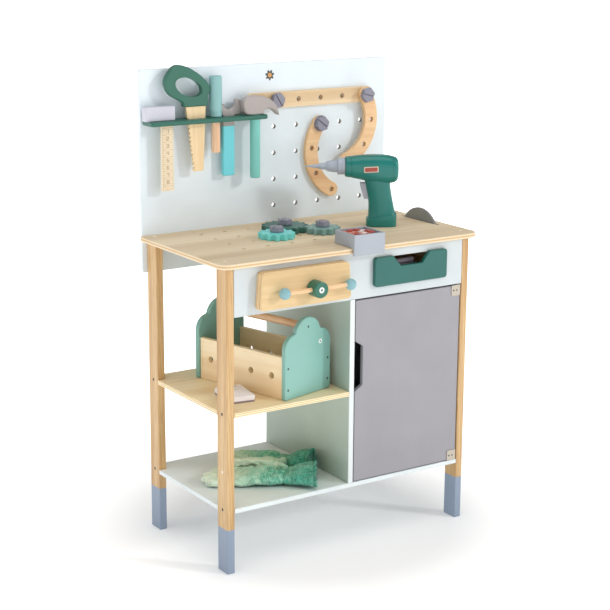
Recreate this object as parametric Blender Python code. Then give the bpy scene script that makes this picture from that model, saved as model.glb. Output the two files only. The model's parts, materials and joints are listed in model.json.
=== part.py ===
"""Toy workbench: pine legs, plywood top, pegboard, cupboard, drawer, vise and loose wooden tools.

Frame: +Z up, X to the right along the front, Y towards the pegboard; the origin is on the floor at the
centre of the whole set. Sizes below are in millimetres from the bench's own datum (centre of the worktop,
front plane of the legs, floor) and become metres in point().
"""
import math

import bmesh
import bpy
from mathutils import Matrix, Vector

MM = 0.001
GAP = 0.3                       # air between pieces that touch

# ---- driving dimensions -------------------------------------------------------------------------
BENCH_W = 560.0                 # over the legs
BENCH_D = 302.0                 # front plane of the legs to the back plane of the rear legs
LEG_W, LEG_D = 16.0, 36.0
TOP_Z, TOP_T = 600.0, 10.0      # worktop's upper face and thickness
TOP_W = 592.0
TOP_FRONT = -14.0               # the worktop stands proud of the legs
BOARD_W, BOARD_T = 580.0, 9.0
BOARD_Z = (526.0, 921.0)
PANEL_T = 9.0                   # apron, shelves, door, cupboard side
APRON_Z = (497.0, 590.0)
SHELF_Z = 128.0                 # bottom shelf's upper face
MID_Z = 315.0                   # middle shelf's upper face
DIVIDER_T = 11.0
BACK_T = 6.0
DRAWER_SHELF_Z = (513.0, 521.0)
DRAWER_X = (45.0, 219.0)        # drawer front, which overlays the apron
DRAWER_Z = (517.0, 574.5)
DRAWER_OPEN_X = (50.0, 214.0)
DRAWER_OPEN_Z = (521.0, 572.0)
TRAY_X = (52.0, 212.0)
TRAY_BACK = 240.0
DOOR_X = (7.3, 262.2)
DOOR_Z = (130.0, 494.0)
HOLE_R = 5.0                    # peg holes
PITCH = 53.5                    # peg hole pitch
BOARD_COL0, BOARD_ROW0 = 12.7, 632.8
TOP_COL0, TOP_ROW0 = -186.0, 93.5
JAW_X = (-220.0, -18.0)
JAW_Z = (507.0, 578.0)
JAW_LEAN = 5.0                  # the jaws are narrower at the top
VISE_X, VISE_Z = -104.5, 538.5
HUB_FRONT = -48.0
ROD_Y = -36.0
DOWEL_SPREAD = 62.0
RACK_X = (-286.4, -26.6)
RACK_Y = (259.5, 301.7)
RACK_Z = (815.5, 824.0)
TOOL_Y = 280.6                  # mid-plane of the hanging tools
HAMMER_Y = 272.5                # the hammer hangs forward so its head passes the bolt when lifted
BAR_T, BAR_H = 9.5, 32.0
BAR_Y = BENCH_D - GAP - BAR_T   # front face of the bars that lie on the board
ARC_R, ARC_HALF = 90.0, 15.0    # curved bars: radius of the hole line, half width
ARC_TURN = 34.7                 # degrees between two holes of a curved bar
NUT_BACK = 319.0
BOLT_END = 321.0
GEAR_T = 12.0
TEETH_SMALL, TEETH_LARGE = 12, 16
DISC_X, DISC_Y, DISC_Z, DISC_R = 273.0, 150.0, 562.0, 64.0
DRILL_AT = (170.0, 143.0)
DRILL_TURN = math.radians(-30.0)
DRILL_AXIS_Z = 121.0            # chuck axis above the worktop
TOOLBOX_AT, TOOLBOX_TURN = (-113.0, 145.4), math.radians(15.0)
TOOLBOX_W, TOOLBOX_L, TOOLBOX_END_T = 130.0, 240.0, 10.0
PARTS_AT, PARTS_TURN = (21.6, -16.3), math.radians(-2.0)
BLOCK_AT, BLOCK_TURN = (-211.0, 87.0), math.radians(-9.4)

LEG_FRONT_Y = -(BOLT_END + HUB_FRONT) / 2    # puts the origin at the centre of the set's depth

MINT_WHITE = (0.66, 0.73, 0.75)
PINE = (0.77, 0.54, 0.30)
PLYWOOD = (0.72, 0.56, 0.36)
DOOR_GREY = (0.42, 0.41, 0.44)
DARK_GREEN = (0.05, 0.20, 0.14)
DRAWER_GREEN = (0.06, 0.22, 0.18)
LILAC = (0.60, 0.57, 0.63)
BOLT_GREY = (0.22, 0.22, 0.29)
TOOL_GREY = (0.37, 0.34, 0.33)
LIGHT_TEAL = (0.20, 0.45, 0.41)
CYAN = (0.16, 0.58, 0.66)
TEAL = (0.13, 0.38, 0.32)
BALL_BLUE = (0.17, 0.38, 0.43)
TURQUOISE = (0.15, 0.60, 0.60)
GEAR_GREEN = (0.03, 0.13, 0.10)
GEAR_TEAL = (0.18, 0.31, 0.31)
DISC_GREY = (0.30, 0.30, 0.33)
DRILL_GREEN = (0.02, 0.22, 0.15)
STEEL = (0.60, 0.60, 0.60)
MINT = (0.26, 0.51, 0.42)
BOX_GREY = (0.48, 0.50, 0.57)
KNIT = (0.12, 0.45, 0.30)


# ---- helpers ------------------------------------------------------------------------------------
def point(x, y, z):
    """Bench millimetres to metres in the part's frame."""
    return Vector((x * MM, (y + LEG_FRONT_Y) * MM, z * MM))


def material(name, color, roughness=0.5, metallic=0.0):
    found = bpy.data.materials.get(name)
    if found:
        return found
    made = bpy.data.materials.new(name)
    made.use_nodes = True
    shader = made.node_tree.nodes["Principled BSDF"]
    shader.inputs["Base Color"].default_value = (*color, 1.0)
    shader.inputs["Roughness"].default_value = roughness
    shader.inputs["Metallic"].default_value = metallic
    return made


def finish(name, bm, color, origin, roughness=0.5, metallic=0.0, sharp=32.0):
    """Turn a bmesh in world metres into an object whose origin is the given point."""
    bmesh.ops.remove_doubles(bm, verts=bm.verts, dist=1e-6)
    bmesh.ops.recalc_face_normals(bm, faces=bm.faces)
    bmesh.ops.translate(bm, verts=bm.verts, vec=-origin)
    mesh = bpy.data.meshes.new(name)
    bm.to_mesh(mesh)
    bm.free()
    mesh.shade_smooth()
    mesh.set_sharp_from_angle(angle=math.radians(sharp))
    mesh.materials.append(material(name, color, roughness, metallic))
    obj = bpy.data.objects.new(name, mesh)
    obj.location = origin
    bpy.context.scene.collection.objects.link(obj)
    return obj


def place(at, turn=0.0, z=0.0):
    """Map local millimetres to world metres: turn about Z, then move to the bench place."""
    base = point(at[0], at[1], z)
    rotation = Matrix.Rotation(turn, 4, "Z")
    return Matrix.Translation(base) @ rotation @ Matrix.Scale(MM, 4)


BENCH = place((0.0, 0.0))
FLAT = Matrix.Identity(4)
# Local XY of a slab drawn on the front (X, Z) plane or the side (Y, Z) plane; its depth runs along +Y or +X.
FRONT = Matrix(((1, 0, 0, 0), (0, 0, 1, 0), (0, 1, 0, 0), (0, 0, 0, 1)))
SIDE = Matrix(((0, 0, 1, 0), (1, 0, 0, 0), (0, 1, 0, 0), (0, 0, 0, 1)))


def circle(center, radius, count=16, start=0.0):
    turn = 2 * math.pi / count
    return [(center[0] + radius * math.cos(start + turn * i), center[1] + radius * math.sin(start + turn * i))
            for i in range(count)]


def arc(center, radius, start, end, count):
    step = (end - start) / count
    return [(center[0] + radius * math.cos(start + step * i), center[1] + radius * math.sin(start + step * i))
            for i in range(count + 1)]


def rounded_rect(lo, hi, radius, count=4):
    quarter = math.pi / 2
    corners = [((hi[0] - radius, lo[1] + radius), -quarter), ((hi[0] - radius, hi[1] - radius), 0.0),
               ((lo[0] + radius, hi[1] - radius), quarter), ((lo[0] + radius, lo[1] + radius), 2 * quarter)]
    outline = []
    for center, start in corners:
        outline += arc(center, radius, start, start + quarter, count)
    return outline


def smooth_loop(points, per_span=3):
    """Closed Catmull-Rom curve through the points."""
    outline = []
    total = len(points)
    for i in range(total):
        a, b, c, d = (Vector(points[(i + k) % total]) for k in (-1, 0, 1, 2))
        for j in range(per_span):
            t = j / per_span
            p = 0.5 * (2 * b + (c - a) * t + (2 * a - 5 * b + 4 * c - d) * t ** 2
                       + (3 * b - a - 3 * c + d) * t ** 3)
            outline.append((p.x, p.y))
    return outline


def area(loop):
    return 0.5 * sum(a[0] * b[1] - b[0] * a[1] for a, b in zip(loop, loop[1:] + loop[:1]))


def inset(loop, distance):
    """Move each corner inwards along its two edges' normals; the loop runs counter-clockwise."""
    moved = []
    total = len(loop)
    for i, here in enumerate(loop):
        before = Vector(here) - Vector(loop[i - 1])
        after = Vector(loop[(i + 1) % total]) - Vector(here)
        normal_a = Vector((-before.y, before.x)).normalized()
        normal_b = Vector((-after.y, after.x)).normalized()
        bisector = (normal_a + normal_b).normalized()
        reach = distance / max(0.45, bisector.dot(normal_a))
        moved.append((here[0] + bisector.x * reach, here[1] + bisector.y * reach))
    return moved


def slab_mesh(outer, thickness, holes=(), edge=0.0, steps=1, depth0=0.0):
    """Closed plate between depth0 and depth0 + thickness with through holes and rounded outer edges."""
    bm = bmesh.new()
    outer = list(outer) if area(list(outer)) > 0 else list(reversed(outer))
    levels = [(0.0, 0.0), (0.0, thickness)]
    if edge:
        turns = [math.pi / 2 * k / steps for k in range(steps + 1)]
        curve = [(edge * (1 - math.sin(a)), edge * (1 - math.cos(a))) for a in turns]
        levels = curve + [(shift, thickness - depth) for shift, depth in reversed(curve)]
    rings = [[bm.verts.new((x, y, depth0 + depth)) for x, y in (inset(outer,
                                                                      shift) if shift > 1e-6 else outer)]
             for shift, depth in levels]
    walls = [rings]
    for hole in holes:
        ordered = list(hole) if area(list(hole)) < 0 else list(reversed(hole))
        walls.append([[bm.verts.new((x, y, depth0 + depth)) for x, y in ordered] for depth in (0.0,
                                                                                               thickness)])
    for stack in walls:
        for lower, upper in zip(stack, stack[1:]):
            total = len(lower)
            for i in range(total):
                bm.faces.new((lower[i], lower[(i + 1) % total], upper[(i + 1) % total], upper[i]))
    for level in (0, -1):
        edges = []
        for stack in walls:
            ring = stack[level]
            edges += [bm.edges.get((ring[i], ring[(i + 1) % len(ring)])) for i in range(len(ring))]
        bmesh.ops.triangle_fill(bm, edges=edges, use_beauty=True)
    bmesh.ops.recalc_face_normals(bm, faces=bm.faces)
    return bm


def slab(name, outer, depth, color, holes=(), edge=1.0, plane=FLAT, frame=BENCH, origin=None, **look):
    """A plate between the two depths, drawn on the given plane of the given local frame."""
    bm = slab_mesh(outer, depth[1] - depth[0], holes, edge, depth0=depth[0])
    bm.transform(frame @ plane)
    if origin is None:
        origin = center_of(bm)
    return finish(name, bm, color, origin, **look)


def center_of(bm):
    lo = Vector([min(v.co[i] for v in bm.verts) for i in range(3)])
    hi = Vector([max(v.co[i] for v in bm.verts) for i in range(3)])
    return (lo + hi) / 2


def block(name, lo, hi, color, edge=1.0, frame=BENCH, origin=None, **look):
    """A box with rounded edges."""
    outline = rounded_rect(lo[:2], hi[:2], max(edge, 0.2), 1)
    return slab(name, outline, (lo[2], hi[2]), color, edge=edge, frame=frame, origin=origin, **look)


def lathe_mesh(profile, count=20):
    """Turn (radius, height) points about Z; a zero radius closes the end."""
    bm = bmesh.new()
    rings = []
    for radius, height in profile:
        if radius < 1e-6:
            rings.append([bm.verts.new((0, 0, height))])
        else:
            rings.append([bm.verts.new((x, y, height)) for x, y in circle((0, 0), radius, count)])
    for low, high in zip(rings, rings[1:]):
        for i in range(count):
            j = (i + 1) % count
            if len(low) == 1:
                bm.faces.new((low[0], high[j], high[i]))
            elif len(high) == 1:
                bm.faces.new((low[i], low[j], high[0]))
            else:
                bm.faces.new((low[i], low[j], high[j], high[i]))
    return bm


def lathe(name, profile, base, axis, color, count=20, frame=BENCH, origin=None, **look):
    """A turned piece whose height runs along the axis from the base point (local millimetres)."""
    bm = lathe_mesh(profile, count)
    turn = Vector((0, 0, 1)).rotation_difference(Vector(axis)).to_matrix().to_4x4()
    bm.transform(frame @ Matrix.Translation(base) @ turn)
    return finish(name, bm, color, origin or frame @ Vector(base), **look)


def boolean(target, cutter_mesh, operation):
    """Apply one exact Boolean with a temporary object made from a bmesh in world metres."""
    bmesh.ops.recalc_face_normals(cutter_mesh, faces=cutter_mesh.faces)
    mesh = bpy.data.meshes.new("tool")
    cutter_mesh.to_mesh(mesh)
    cutter_mesh.free()
    tool = bpy.data.objects.new("tool", mesh)
    bpy.context.scene.collection.objects.link(tool)
    modifier = target.modifiers.new("cut", "BOOLEAN")
    modifier.object = tool
    modifier.operation = operation
    modifier.solver = "EXACT"
    bpy.context.view_layer.update()
    result = bpy.data.meshes.new_from_object(target.evaluated_get(bpy.context.evaluated_depsgraph_get()))
    target.modifiers.clear()
    old = target.data
    target.data = result
    result.name = target.name
    bpy.data.meshes.remove(old)
    bpy.data.objects.remove(tool)
    result.shade_smooth()
    result.set_sharp_from_angle(angle=math.radians(32.0))


def rod_mesh(start, end, radius, count=14, frame=BENCH):
    """A plain round rod between two local points, in world metres."""
    span = Vector(end) - Vector(start)
    bm = lathe_mesh([(0, 0), (radius, 0), (radius, span.length), (0, span.length)], count)
    turn = Vector((0, 0, 1)).rotation_difference(span).to_matrix().to_4x4()
    bm.transform(frame @ Matrix.Translation(start) @ turn)
    return bm


def box_mesh(lo, hi, frame=BENCH):
    bm = bmesh.new()
    bmesh.ops.create_cube(bm, size=1.0)
    for vert in bm.verts:
        vert.co = Vector([lo[i] if vert.co[i] < 0 else hi[i] for i in range(3)])
    bm.transform(frame)
    return bm


def grid(x0, z0, columns, rows):
    return [(x0 + PITCH * i, z0 + PITCH * j) for j in range(rows) for i in range(columns)]


# ---- bench frame --------------------------------------------------------------------------------
def make_legs():
    for side, x in (("left", -BENCH_W / 2), ("right", BENCH_W / 2 - LEG_W)):
        for end, y in (("front", 0.0), ("rear", BENCH_D - LEG_D)):
            lo = (x, y, 0.0)
            hi = (x + LEG_W, y + LEG_D - (GAP if end == "rear" else 0.0), TOP_Z - TOP_T - GAP)
            block("leg_%s_%s" % (end, side), lo, hi, PINE, edge=1.2, roughness=0.55)


def make_worktop():
    half = TOP_W / 2
    front_r, rear_r = 22.0, 5.0
    quarter = math.pi / 2
    back = BENCH_D - GAP
    outline = (arc((half - front_r, TOP_FRONT + front_r), front_r, -quarter, 0.0, 6)
               + arc((half - rear_r, back - rear_r), rear_r, 0.0, quarter, 2)
               + arc((-half + rear_r, back - rear_r), rear_r, quarter, 2 * quarter, 2)
               + arc((-half + front_r, TOP_FRONT + front_r), front_r, 2 * quarter, 3 * quarter, 6))
    holes = [circle(at, HOLE_R, 12) for at in grid(TOP_COL0, TOP_ROW0, 5, 4)]
    reach = math.sqrt(DISC_R ** 2 - (TOP_Z - TOP_T - DISC_Z) ** 2) + 4.0
    holes.append(rounded_rect((DISC_X - 4.5, DISC_Y - reach), (DISC_X + 4.5, DISC_Y + reach), 4.0, 3))
    slab("worktop", outline, (TOP_Z - TOP_T, TOP_Z), PLYWOOD, holes, edge=1.5, roughness=0.5)


def make_pegboard():
    outline = rounded_rect((-BOARD_W / 2, BOARD_Z[0]), (BOARD_W / 2, BOARD_Z[1]), 5.0, 3)
    holes = [circle(at, HOLE_R, 12) for at in grid(BOARD_COL0, BOARD_ROW0, 5, 5)]
    slab("pegboard", outline, (BENCH_D, BENCH_D + BOARD_T), MINT_WHITE, holes, edge=1.2, plane=FRONT,
         roughness=0.45)


def make_apron():
    half = BENCH_W / 2 - LEG_W - GAP
    outline = rounded_rect((-half, APRON_Z[0]), (half, APRON_Z[1] - GAP), 1.0, 2)
    holes = [rounded_rect((DRAWER_OPEN_X[0], DRAWER_OPEN_Z[0]), (DRAWER_OPEN_X[1], DRAWER_OPEN_Z[1]), 1.5, 2),
             circle((VISE_X, VISE_Z), 6.6, 16)]
    holes += [circle((VISE_X + side * DOWEL_SPREAD, VISE_Z), 4.7, 14) for side in (-1, 1)]
    apron = slab("front_apron", outline, (0.0, PANEL_T), MINT_WHITE, holes, edge=1.0, plane=FRONT,
                 roughness=0.45)
    boolean(apron, rod_mesh((HINGE_X, HINGE_Y, APRON_Z[0] - 3), (HINGE_X, HINGE_Y, APRON_Z[0] + 6), 2.0),
            "DIFFERENCE")


def notched_shelf(x0, x1, notch_right):
    """A shelf's outline with its corners cut out round the legs."""
    left = -BENCH_W / 2 + LEG_W + GAP
    front, back = LEG_D + GAP, BENCH_D - LEG_D - GAP
    outline = [(left, 0.0)]
    if notch_right:
        outline += [(-left, 0.0), (-left, front), (x1, front), (x1, back), (-left, back),
                    (-left, BENCH_D - GAP)]
    else:
        outline += [(x1, 0.0), (x1, BENCH_D - GAP)]
    return outline + [(left, BENCH_D - GAP), (left, back), (x0, back), (x0, front), (left, front)]


def make_shelves():
    bottom = slab("bottom_shelf", notched_shelf(-BENCH_W / 2, BENCH_W / 2, True),
                  (SHELF_Z - PANEL_T, SHELF_Z),
                  MINT_WHITE, edge=0.8, roughness=0.45)
    boolean(bottom, rod_mesh((HINGE_X, HINGE_Y, SHELF_Z - 5), (HINGE_X, HINGE_Y, SHELF_Z + 3), 2.0),
            "DIFFERENCE")
    slab("middle_shelf", notched_shelf(-BENCH_W / 2, -DIVIDER_T / 2 - GAP, False), (MID_Z - PANEL_T, MID_Z),
         PLYWOOD, edge=0.8, roughness=0.5)


def make_cupboard():
    half = DIVIDER_T / 2
    back = BENCH_D - GAP
    top = TOP_Z - TOP_T - GAP
    low = SHELF_Z + GAP
    behind = PANEL_T + GAP
    profile = [(0.0, low), (back, low), (back, top), (behind, top), (behind, APRON_Z[0] - GAP),
               (0.0, APRON_Z[0] - GAP)]
    slab("divider", profile, (-half, half), MINT_WHITE, edge=0.8, plane=SIDE, roughness=0.45)
    right = BENCH_W / 2 - LEG_W - GAP
    block("cabinet_side", (right - PANEL_T, behind + GAP, low), (right, back, top), MINT_WHITE, 0.8,
          roughness=0.45)
    inner = (half + GAP, right - PANEL_T - GAP)
    block("cabinet_back", (inner[0], back - BACK_T, low), (inner[1], back, top), MINT_WHITE, 0.6,
          roughness=0.5)
    block("drawer_shelf", (inner[0], behind + GAP, DRAWER_SHELF_Z[0]),
          (inner[1], back - BACK_T - GAP, DRAWER_SHELF_Z[1]), MINT_WHITE, 0.6, roughness=0.5)


# ---- door and drawer ----------------------------------------------------------------------------
HINGE_Y = PANEL_T / 2
HINGE_X = DOOR_X[1] - PANEL_T / 2


def make_door():
    pivot = point(HINGE_X, HINGE_Y, 0.0)
    notch = [(313.0, 0.0), (324.5, 18.0), (402.5, 18.0), (414.0, 0.0)]
    x0, z0, z1 = DOOR_X[0], DOOR_Z[0], DOOR_Z[1]
    outline = [(x0, z1)] + [(x0 + depth, z) for z, depth in reversed(notch)]
    outline += [(x0, z0), (HINGE_X, z0), (HINGE_X, z1)]
    door = slab("door", outline, (0.0, PANEL_T), DOOR_GREY, edge=0.8, plane=FRONT, origin=pivot,
                roughness=0.45)
    radius = PANEL_T / 2
    edge = lathe_mesh([(0, z0), (radius - 0.6, z0), (radius, z0 + 0.6), (radius, z1 - 0.6),
                       (radius - 0.6, z1),
                       (0, z1)], 20)
    edge.transform(place((HINGE_X, HINGE_Y)))
    boolean(door, edge, "UNION")
    for name, z_lug, z_pin, z_plate in (("door_hinge_top", (z1 + GAP, z1 + 1.5), (z1 + 1.0, z1 + 7.0),
                                         (z1 - 20.0, z1 + 1.5)),
                                        ("door_hinge_bottom", (z0 - 1.5, z0 - GAP), (z0 - 5.5, z0 - 1.0),
                                         (z0 - 1.5, z0 + 20.0))):
        front = -1.2
        plate = rounded_rect((HINGE_X - 19.0, z_plate[0]), (HINGE_X + 2.5, z_plate[1]), 1.5, 2)
        hinge = slab(name, plate, (front, -GAP), STEEL, edge=0.0, plane=FRONT, origin=pivot, roughness=0.35,
                     metallic=1.0)
        lug = box_mesh((HINGE_X - 6.0, front + 0.3, z_lug[0]), (HINGE_X + 2.4, HINGE_Y + 3.0, z_lug[1]))
        pin = rod_mesh((HINGE_X, HINGE_Y, z_pin[0]), (HINGE_X, HINGE_Y, z_pin[1]), 1.5, 12)
        for extra in (lug, pin):
            boolean(hinge, extra, "UNION")


def make_drawer():
    x0, x1, z1 = DRAWER_X[0], DRAWER_X[1], DRAWER_Z[1]
    middle = (x0 + x1) / 2
    quarter = math.pi / 2
    r = 6.0
    z0 = DRAWER_Z[0]
    outline = (arc((x0 + r, z0 + r), r, 2 * quarter, 3 * quarter, 4) + arc((x1 - r, z0 + r), r, -quarter, 0,
                                                                           4)
               + arc((x1 - r, z1 - r), r, 0, quarter, 4)
               + [(middle + 44.5, z1), (middle + 26.0, z1 - 21.5), (middle - 26.0, z1 - 21.5),
                  (middle - 44.5, z1)]
               + arc((x0 + r, z1 - r), r, quarter, 2 * quarter, 4))
    slab("drawer_front", outline, (-PANEL_T - GAP, -GAP), DRAWER_GREEN, edge=0.9, plane=FRONT, roughness=0.4)
    low, high = DRAWER_OPEN_Z[0] + 0.7, 562.0
    wall, floor = 6.0, 4.0
    tray = block("drawer_tray", (TRAY_X[0], 0.0, low), (TRAY_X[1], TRAY_BACK, high), PLYWOOD, 0.6,
                 roughness=0.5)
    cavity = box_mesh((TRAY_X[0] + wall, -5.0, low + floor), (TRAY_X[1] - wall, TRAY_BACK - wall, high + 5))
    boolean(tray, cavity, "DIFFERENCE")


# ---- vise ---------------------------------------------------------------------------------------
def make_vise():
    outline = []
    for x, z in rounded_rect((JAW_X[0], JAW_Z[0]), (JAW_X[1], JAW_Z[1]), 7.0, 4):
        lean = JAW_LEAN * (z - JAW_Z[0]) / (JAW_Z[1] - JAW_Z[0])
        outline.append((x + lean if x < VISE_X else x - lean, z))
    screw_hole = circle((VISE_X, VISE_Z), 6.6, 16)
    dowels = [(VISE_X + side * DOWEL_SPREAD, VISE_Z) for side in (-1, 1)]
    fixed_y, moving_y = (-10.3, -GAP), (-21.0, -10.9)
    slab("vise_fixed_jaw", outline, fixed_y, PLYWOOD, [screw_hole] + [circle(at, 4.7, 14) for at in dowels],
         edge=1.5, plane=FRONT, roughness=0.5)
    jaw = slab("vise_moving_jaw", outline, moving_y, PLYWOOD, [screw_hole], edge=1.5, plane=FRONT,
               roughness=0.5)
    for x, z in dowels:
        boolean(jaw, rod_mesh((x, moving_y[1] - 4.0, z), (x, 52.0, z), 4.2, 14), "UNION")
    hub_r, hub_back, shaft_end = 15.5, -21.4, 56.0
    length = hub_back - HUB_FRONT
    total = shaft_end - HUB_FRONT
    profile = [(0, 0), (hub_r - 2.0, 0), (hub_r - 0.6, 0.6), (hub_r, 2.0), (hub_r, length - 1.0),
               (hub_r - 1.0, length), (5.9, length), (5.9, total - 1.5), (4.4, total), (0, total)]
    base = (VISE_X, HUB_FRONT, VISE_Z)
    screw = lathe("vise_screw", profile, base, (0, 1, 0), DARK_GREEN, count=28, roughness=0.4)
    boolean(screw, rod_mesh((VISE_X - 30, ROD_Y, VISE_Z), (VISE_X + 30, ROD_Y, VISE_Z), 4.7, 14),
            "DIFFERENCE")
    ball_r, rod_r, half = 11.0, 4.2, 73.0
    start = math.asin(rod_r / ball_r)
    steps = 8
    ball = [(ball_r * math.sin(math.pi - (math.pi - start) * k / steps),
             -half + ball_r * math.cos(math.pi - (math.pi - start) * k / steps)) for k in range(steps + 1)]
    profile = [(0 if k == 0 else r, h) for k, (r, h) in enumerate(ball)]
    profile += [(r, -h) for r, h in reversed(profile)]
    lathe("vise_handle", profile, (VISE_X, ROD_Y, VISE_Z), (1, 0, 0), BALL_BLUE, count=18, roughness=0.4)


# ---- saw disc -----------------------------------------------------------------------------------
def make_saw_disc():
    pivot = point(DISC_X, DISC_Y, DISC_Z)
    slab("saw_disc", circle((DISC_Y, DISC_Z), DISC_R, 48), (DISC_X - 2.5, DISC_X + 2.5), DISC_GREY,
         [circle((DISC_Y, DISC_Z), 5.5, 20)], edge=1.0, plane=SIDE, origin=pivot, roughness=0.4)
    inner = BENCH_W / 2 - LEG_W
    profile = [(0, 0), (10, 0), (10, 5.9), (5.0, 5.9), (5.0, 12.0), (9.0, 12.0), (9.0, 14.2), (7.8, 15.4),
               (0, 15.4)]
    lathe("saw_axle", profile, (inner, DISC_Y, DISC_Z), (1, 0, 0), BOLT_GREY, count=20, roughness=0.4)


# ---- tools on the rack --------------------------------------------------------------------------
SQUARE_BLADE = (-257.0, -230.5)
SAW_TOP = (-202.5, -159.1)
DRIVER_X, WRENCH_X, HAMMER_X = -135.2, -104.3, -50.0
WRENCH_Y = 286.6                # the wrench hangs behind the hammer's head
SAW_SHIFT = -5.5                # clears the screwdriver's handle


def make_rack():
    outline = rounded_rect((RACK_X[0], RACK_Y[0]), (RACK_X[1], RACK_Y[1]), 5.0, 3)
    slots = [rounded_rect((SQUARE_BLADE[0] - 1.5, TOOL_Y - 4.5), (SQUARE_BLADE[1] + 1.5, TOOL_Y + 4.5), 1.0,
                          2),
             rounded_rect((SAW_TOP[0] - 1.0, TOOL_Y - 4.5), (SAW_TOP[1] + 1.0, TOOL_Y + 4.5), 1.0, 2),
             circle((DRIVER_X, TOOL_Y), 9.8, 16),
             rounded_rect((WRENCH_X - 14.3, WRENCH_Y - 6.5), (WRENCH_X + 14.3, WRENCH_Y + 6.5), 1.5, 2),
             circle((HAMMER_X, HAMMER_Y), 11.6, 16)]
    slab("tool_rack", outline, RACK_Z, DARK_GREEN, slots, edge=1.2, roughness=0.4)


def make_square():
    top = RACK_Z[1]
    origin = point(-243.7, TOOL_Y, top)
    block("square_stock", (-293.0, TOOL_Y - 8.0, top + GAP), (-229.0, TOOL_Y + 8.0, 851.5), LILAC, 1.2,
          origin=origin,
          roughness=0.5)
    block("square_blade", (SQUARE_BLADE[0], TOOL_Y - 2.5, 687.5), (SQUARE_BLADE[1], TOOL_Y + 2.5, top),
          PLYWOOD, 0.8, origin=origin, roughness=0.5)


def make_saw():
    top = 847.0
    origin = point(-175.0, TOOL_Y, RACK_Z[1])
    base = top + GAP
    corners = [(-200.0 + SAW_SHIFT, base), (-152.5 + SAW_SHIFT, base)]
    curve = [(-150.0, 866.0), (-143.8, 881.0), (-162.0, 904.0), (-195.0, 924.0), (-220.0, 928.0),
             (-236.0, 914.0),
             (-244.0, 899.0), (-240.0, 881.0), (-229.0, 869.0), (-205.0, 856.0)]
    loop = smooth_loop(corners + [(x + SAW_SHIFT, z) for x, z in curve], 3)
    outline = corners + [p for p in loop if p[1] > base + 0.8]
    major, minor, tilt = 31.0, 17.0, math.radians(-21.0)
    hole = [(-192.0 + SAW_SHIFT + major * math.cos(a) * math.cos(tilt) - minor * math.sin(a) * math.sin(tilt),
             885.0 + major * math.cos(a) * math.sin(tilt) + minor * math.sin(a) * math.cos(tilt))
            for a in (2 * math.pi * k / 28 for k in range(28))]
    slab("saw_handle", outline, (TOOL_Y - 6.0, TOOL_Y + 6.0), DARK_GREEN, [hole], edge=1.8, plane=FRONT,
         origin=origin,
         roughness=0.4)
    low, teeth, depth = 721.0, 12, 3.2
    x_low = (-181.4 + SAW_SHIFT, -159.6 + SAW_SHIFT)
    first, last = 0.16, 0.97
    side = []
    for k in range(teeth * 2 + 1):
        t = first + (last - first) * k / (teeth * 2)
        x = SAW_TOP[0] + (x_low[0] - SAW_TOP[0]) * t
        side.append((x + (depth if k % 2 else 0.0), top + (low - top) * t))
    outline = [(SAW_TOP[0], top)] + side + [(x_low[0] + 1.0, low), (x_low[1], low), (SAW_TOP[1], top)]
    slab("saw_blade", outline, (TOOL_Y - 2.5, TOOL_Y + 2.5), PLYWOOD, edge=0.0, plane=FRONT, origin=origin,
         roughness=0.5)


def make_screwdriver():
    top = RACK_Z[1]
    origin = point(DRIVER_X, TOOL_Y, top)
    height = 80.0
    handle = [(0, GAP), (11.3, GAP), (12.3, 1.5), (12.3, 6.0), (11.7, 8.0), (12.5, 13.0),
              (12.5, height - 3.0),
              (11.6, height - 0.8), (9.8, height), (0, height)]
    lathe("screwdriver_handle", handle, (DRIVER_X, TOOL_Y, top), (0, 0, 1), LIGHT_TEAL, origin=origin,
          count=24,
          roughness=0.4)
    length = top - 754.5
    shaft = [(0, 0), (7.6, 0), (8.6, 1.2), (8.6, length), (0, length)]
    lathe("screwdriver_shaft", shaft, (DRIVER_X, TOOL_Y, 754.5), (0, 0, 1), PINE, origin=origin,
          roughness=0.5)


def make_wrench():
    """One flat piece: open-end head on top, a straight handle that hangs through the rack."""
    top = RACK_Z[1]
    origin = point(WRENCH_X, WRENCH_Y, top)
    low, half = 705.5, 12.8
    base = top + GAP
    right_jaw = [(19.8, 0.1), (27.8, 3.7), (33.5, 10.2), (35.1, 16.2), (33.7, 22.7), (28.8, 28.0),
                 (22.3, 31.5)]
    mouth = [(17.8, 31.7), (15.5, 27.4), (14.1, 20.4), (9.8, 14.9), (1.3, 11.5), (-5.7, 13.9), (-10.0, 18.2)]
    left_jaw = [(-11.3, 23.2), (-15.2, 22.5), (-17.2, 16.7), (-16.2, 8.7)]
    head = smooth_loop([(half, 0.0)] + right_jaw + mouth + left_jaw + [(-half, 0.0)], 2)
    outline = [(WRENCH_X + x, base + z) for x, z in head if z > -0.05]
    quarter = math.pi / 2
    outline += [(WRENCH_X - half, top - 2.0)] + arc((WRENCH_X - half + 4, low + 4), 4.0, 2 * quarter,
                                                    3 * quarter, 3)
    outline += arc((WRENCH_X + half - 4, low + 4), 4.0, 3 * quarter, 4 * quarter,
                   3) + [(WRENCH_X + half, top - 2.0)]
    slab("wrench", outline, (WRENCH_Y - 5.0, WRENCH_Y + 5.0), CYAN, edge=1.2, plane=FRONT, origin=origin,
         roughness=0.4)


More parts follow.
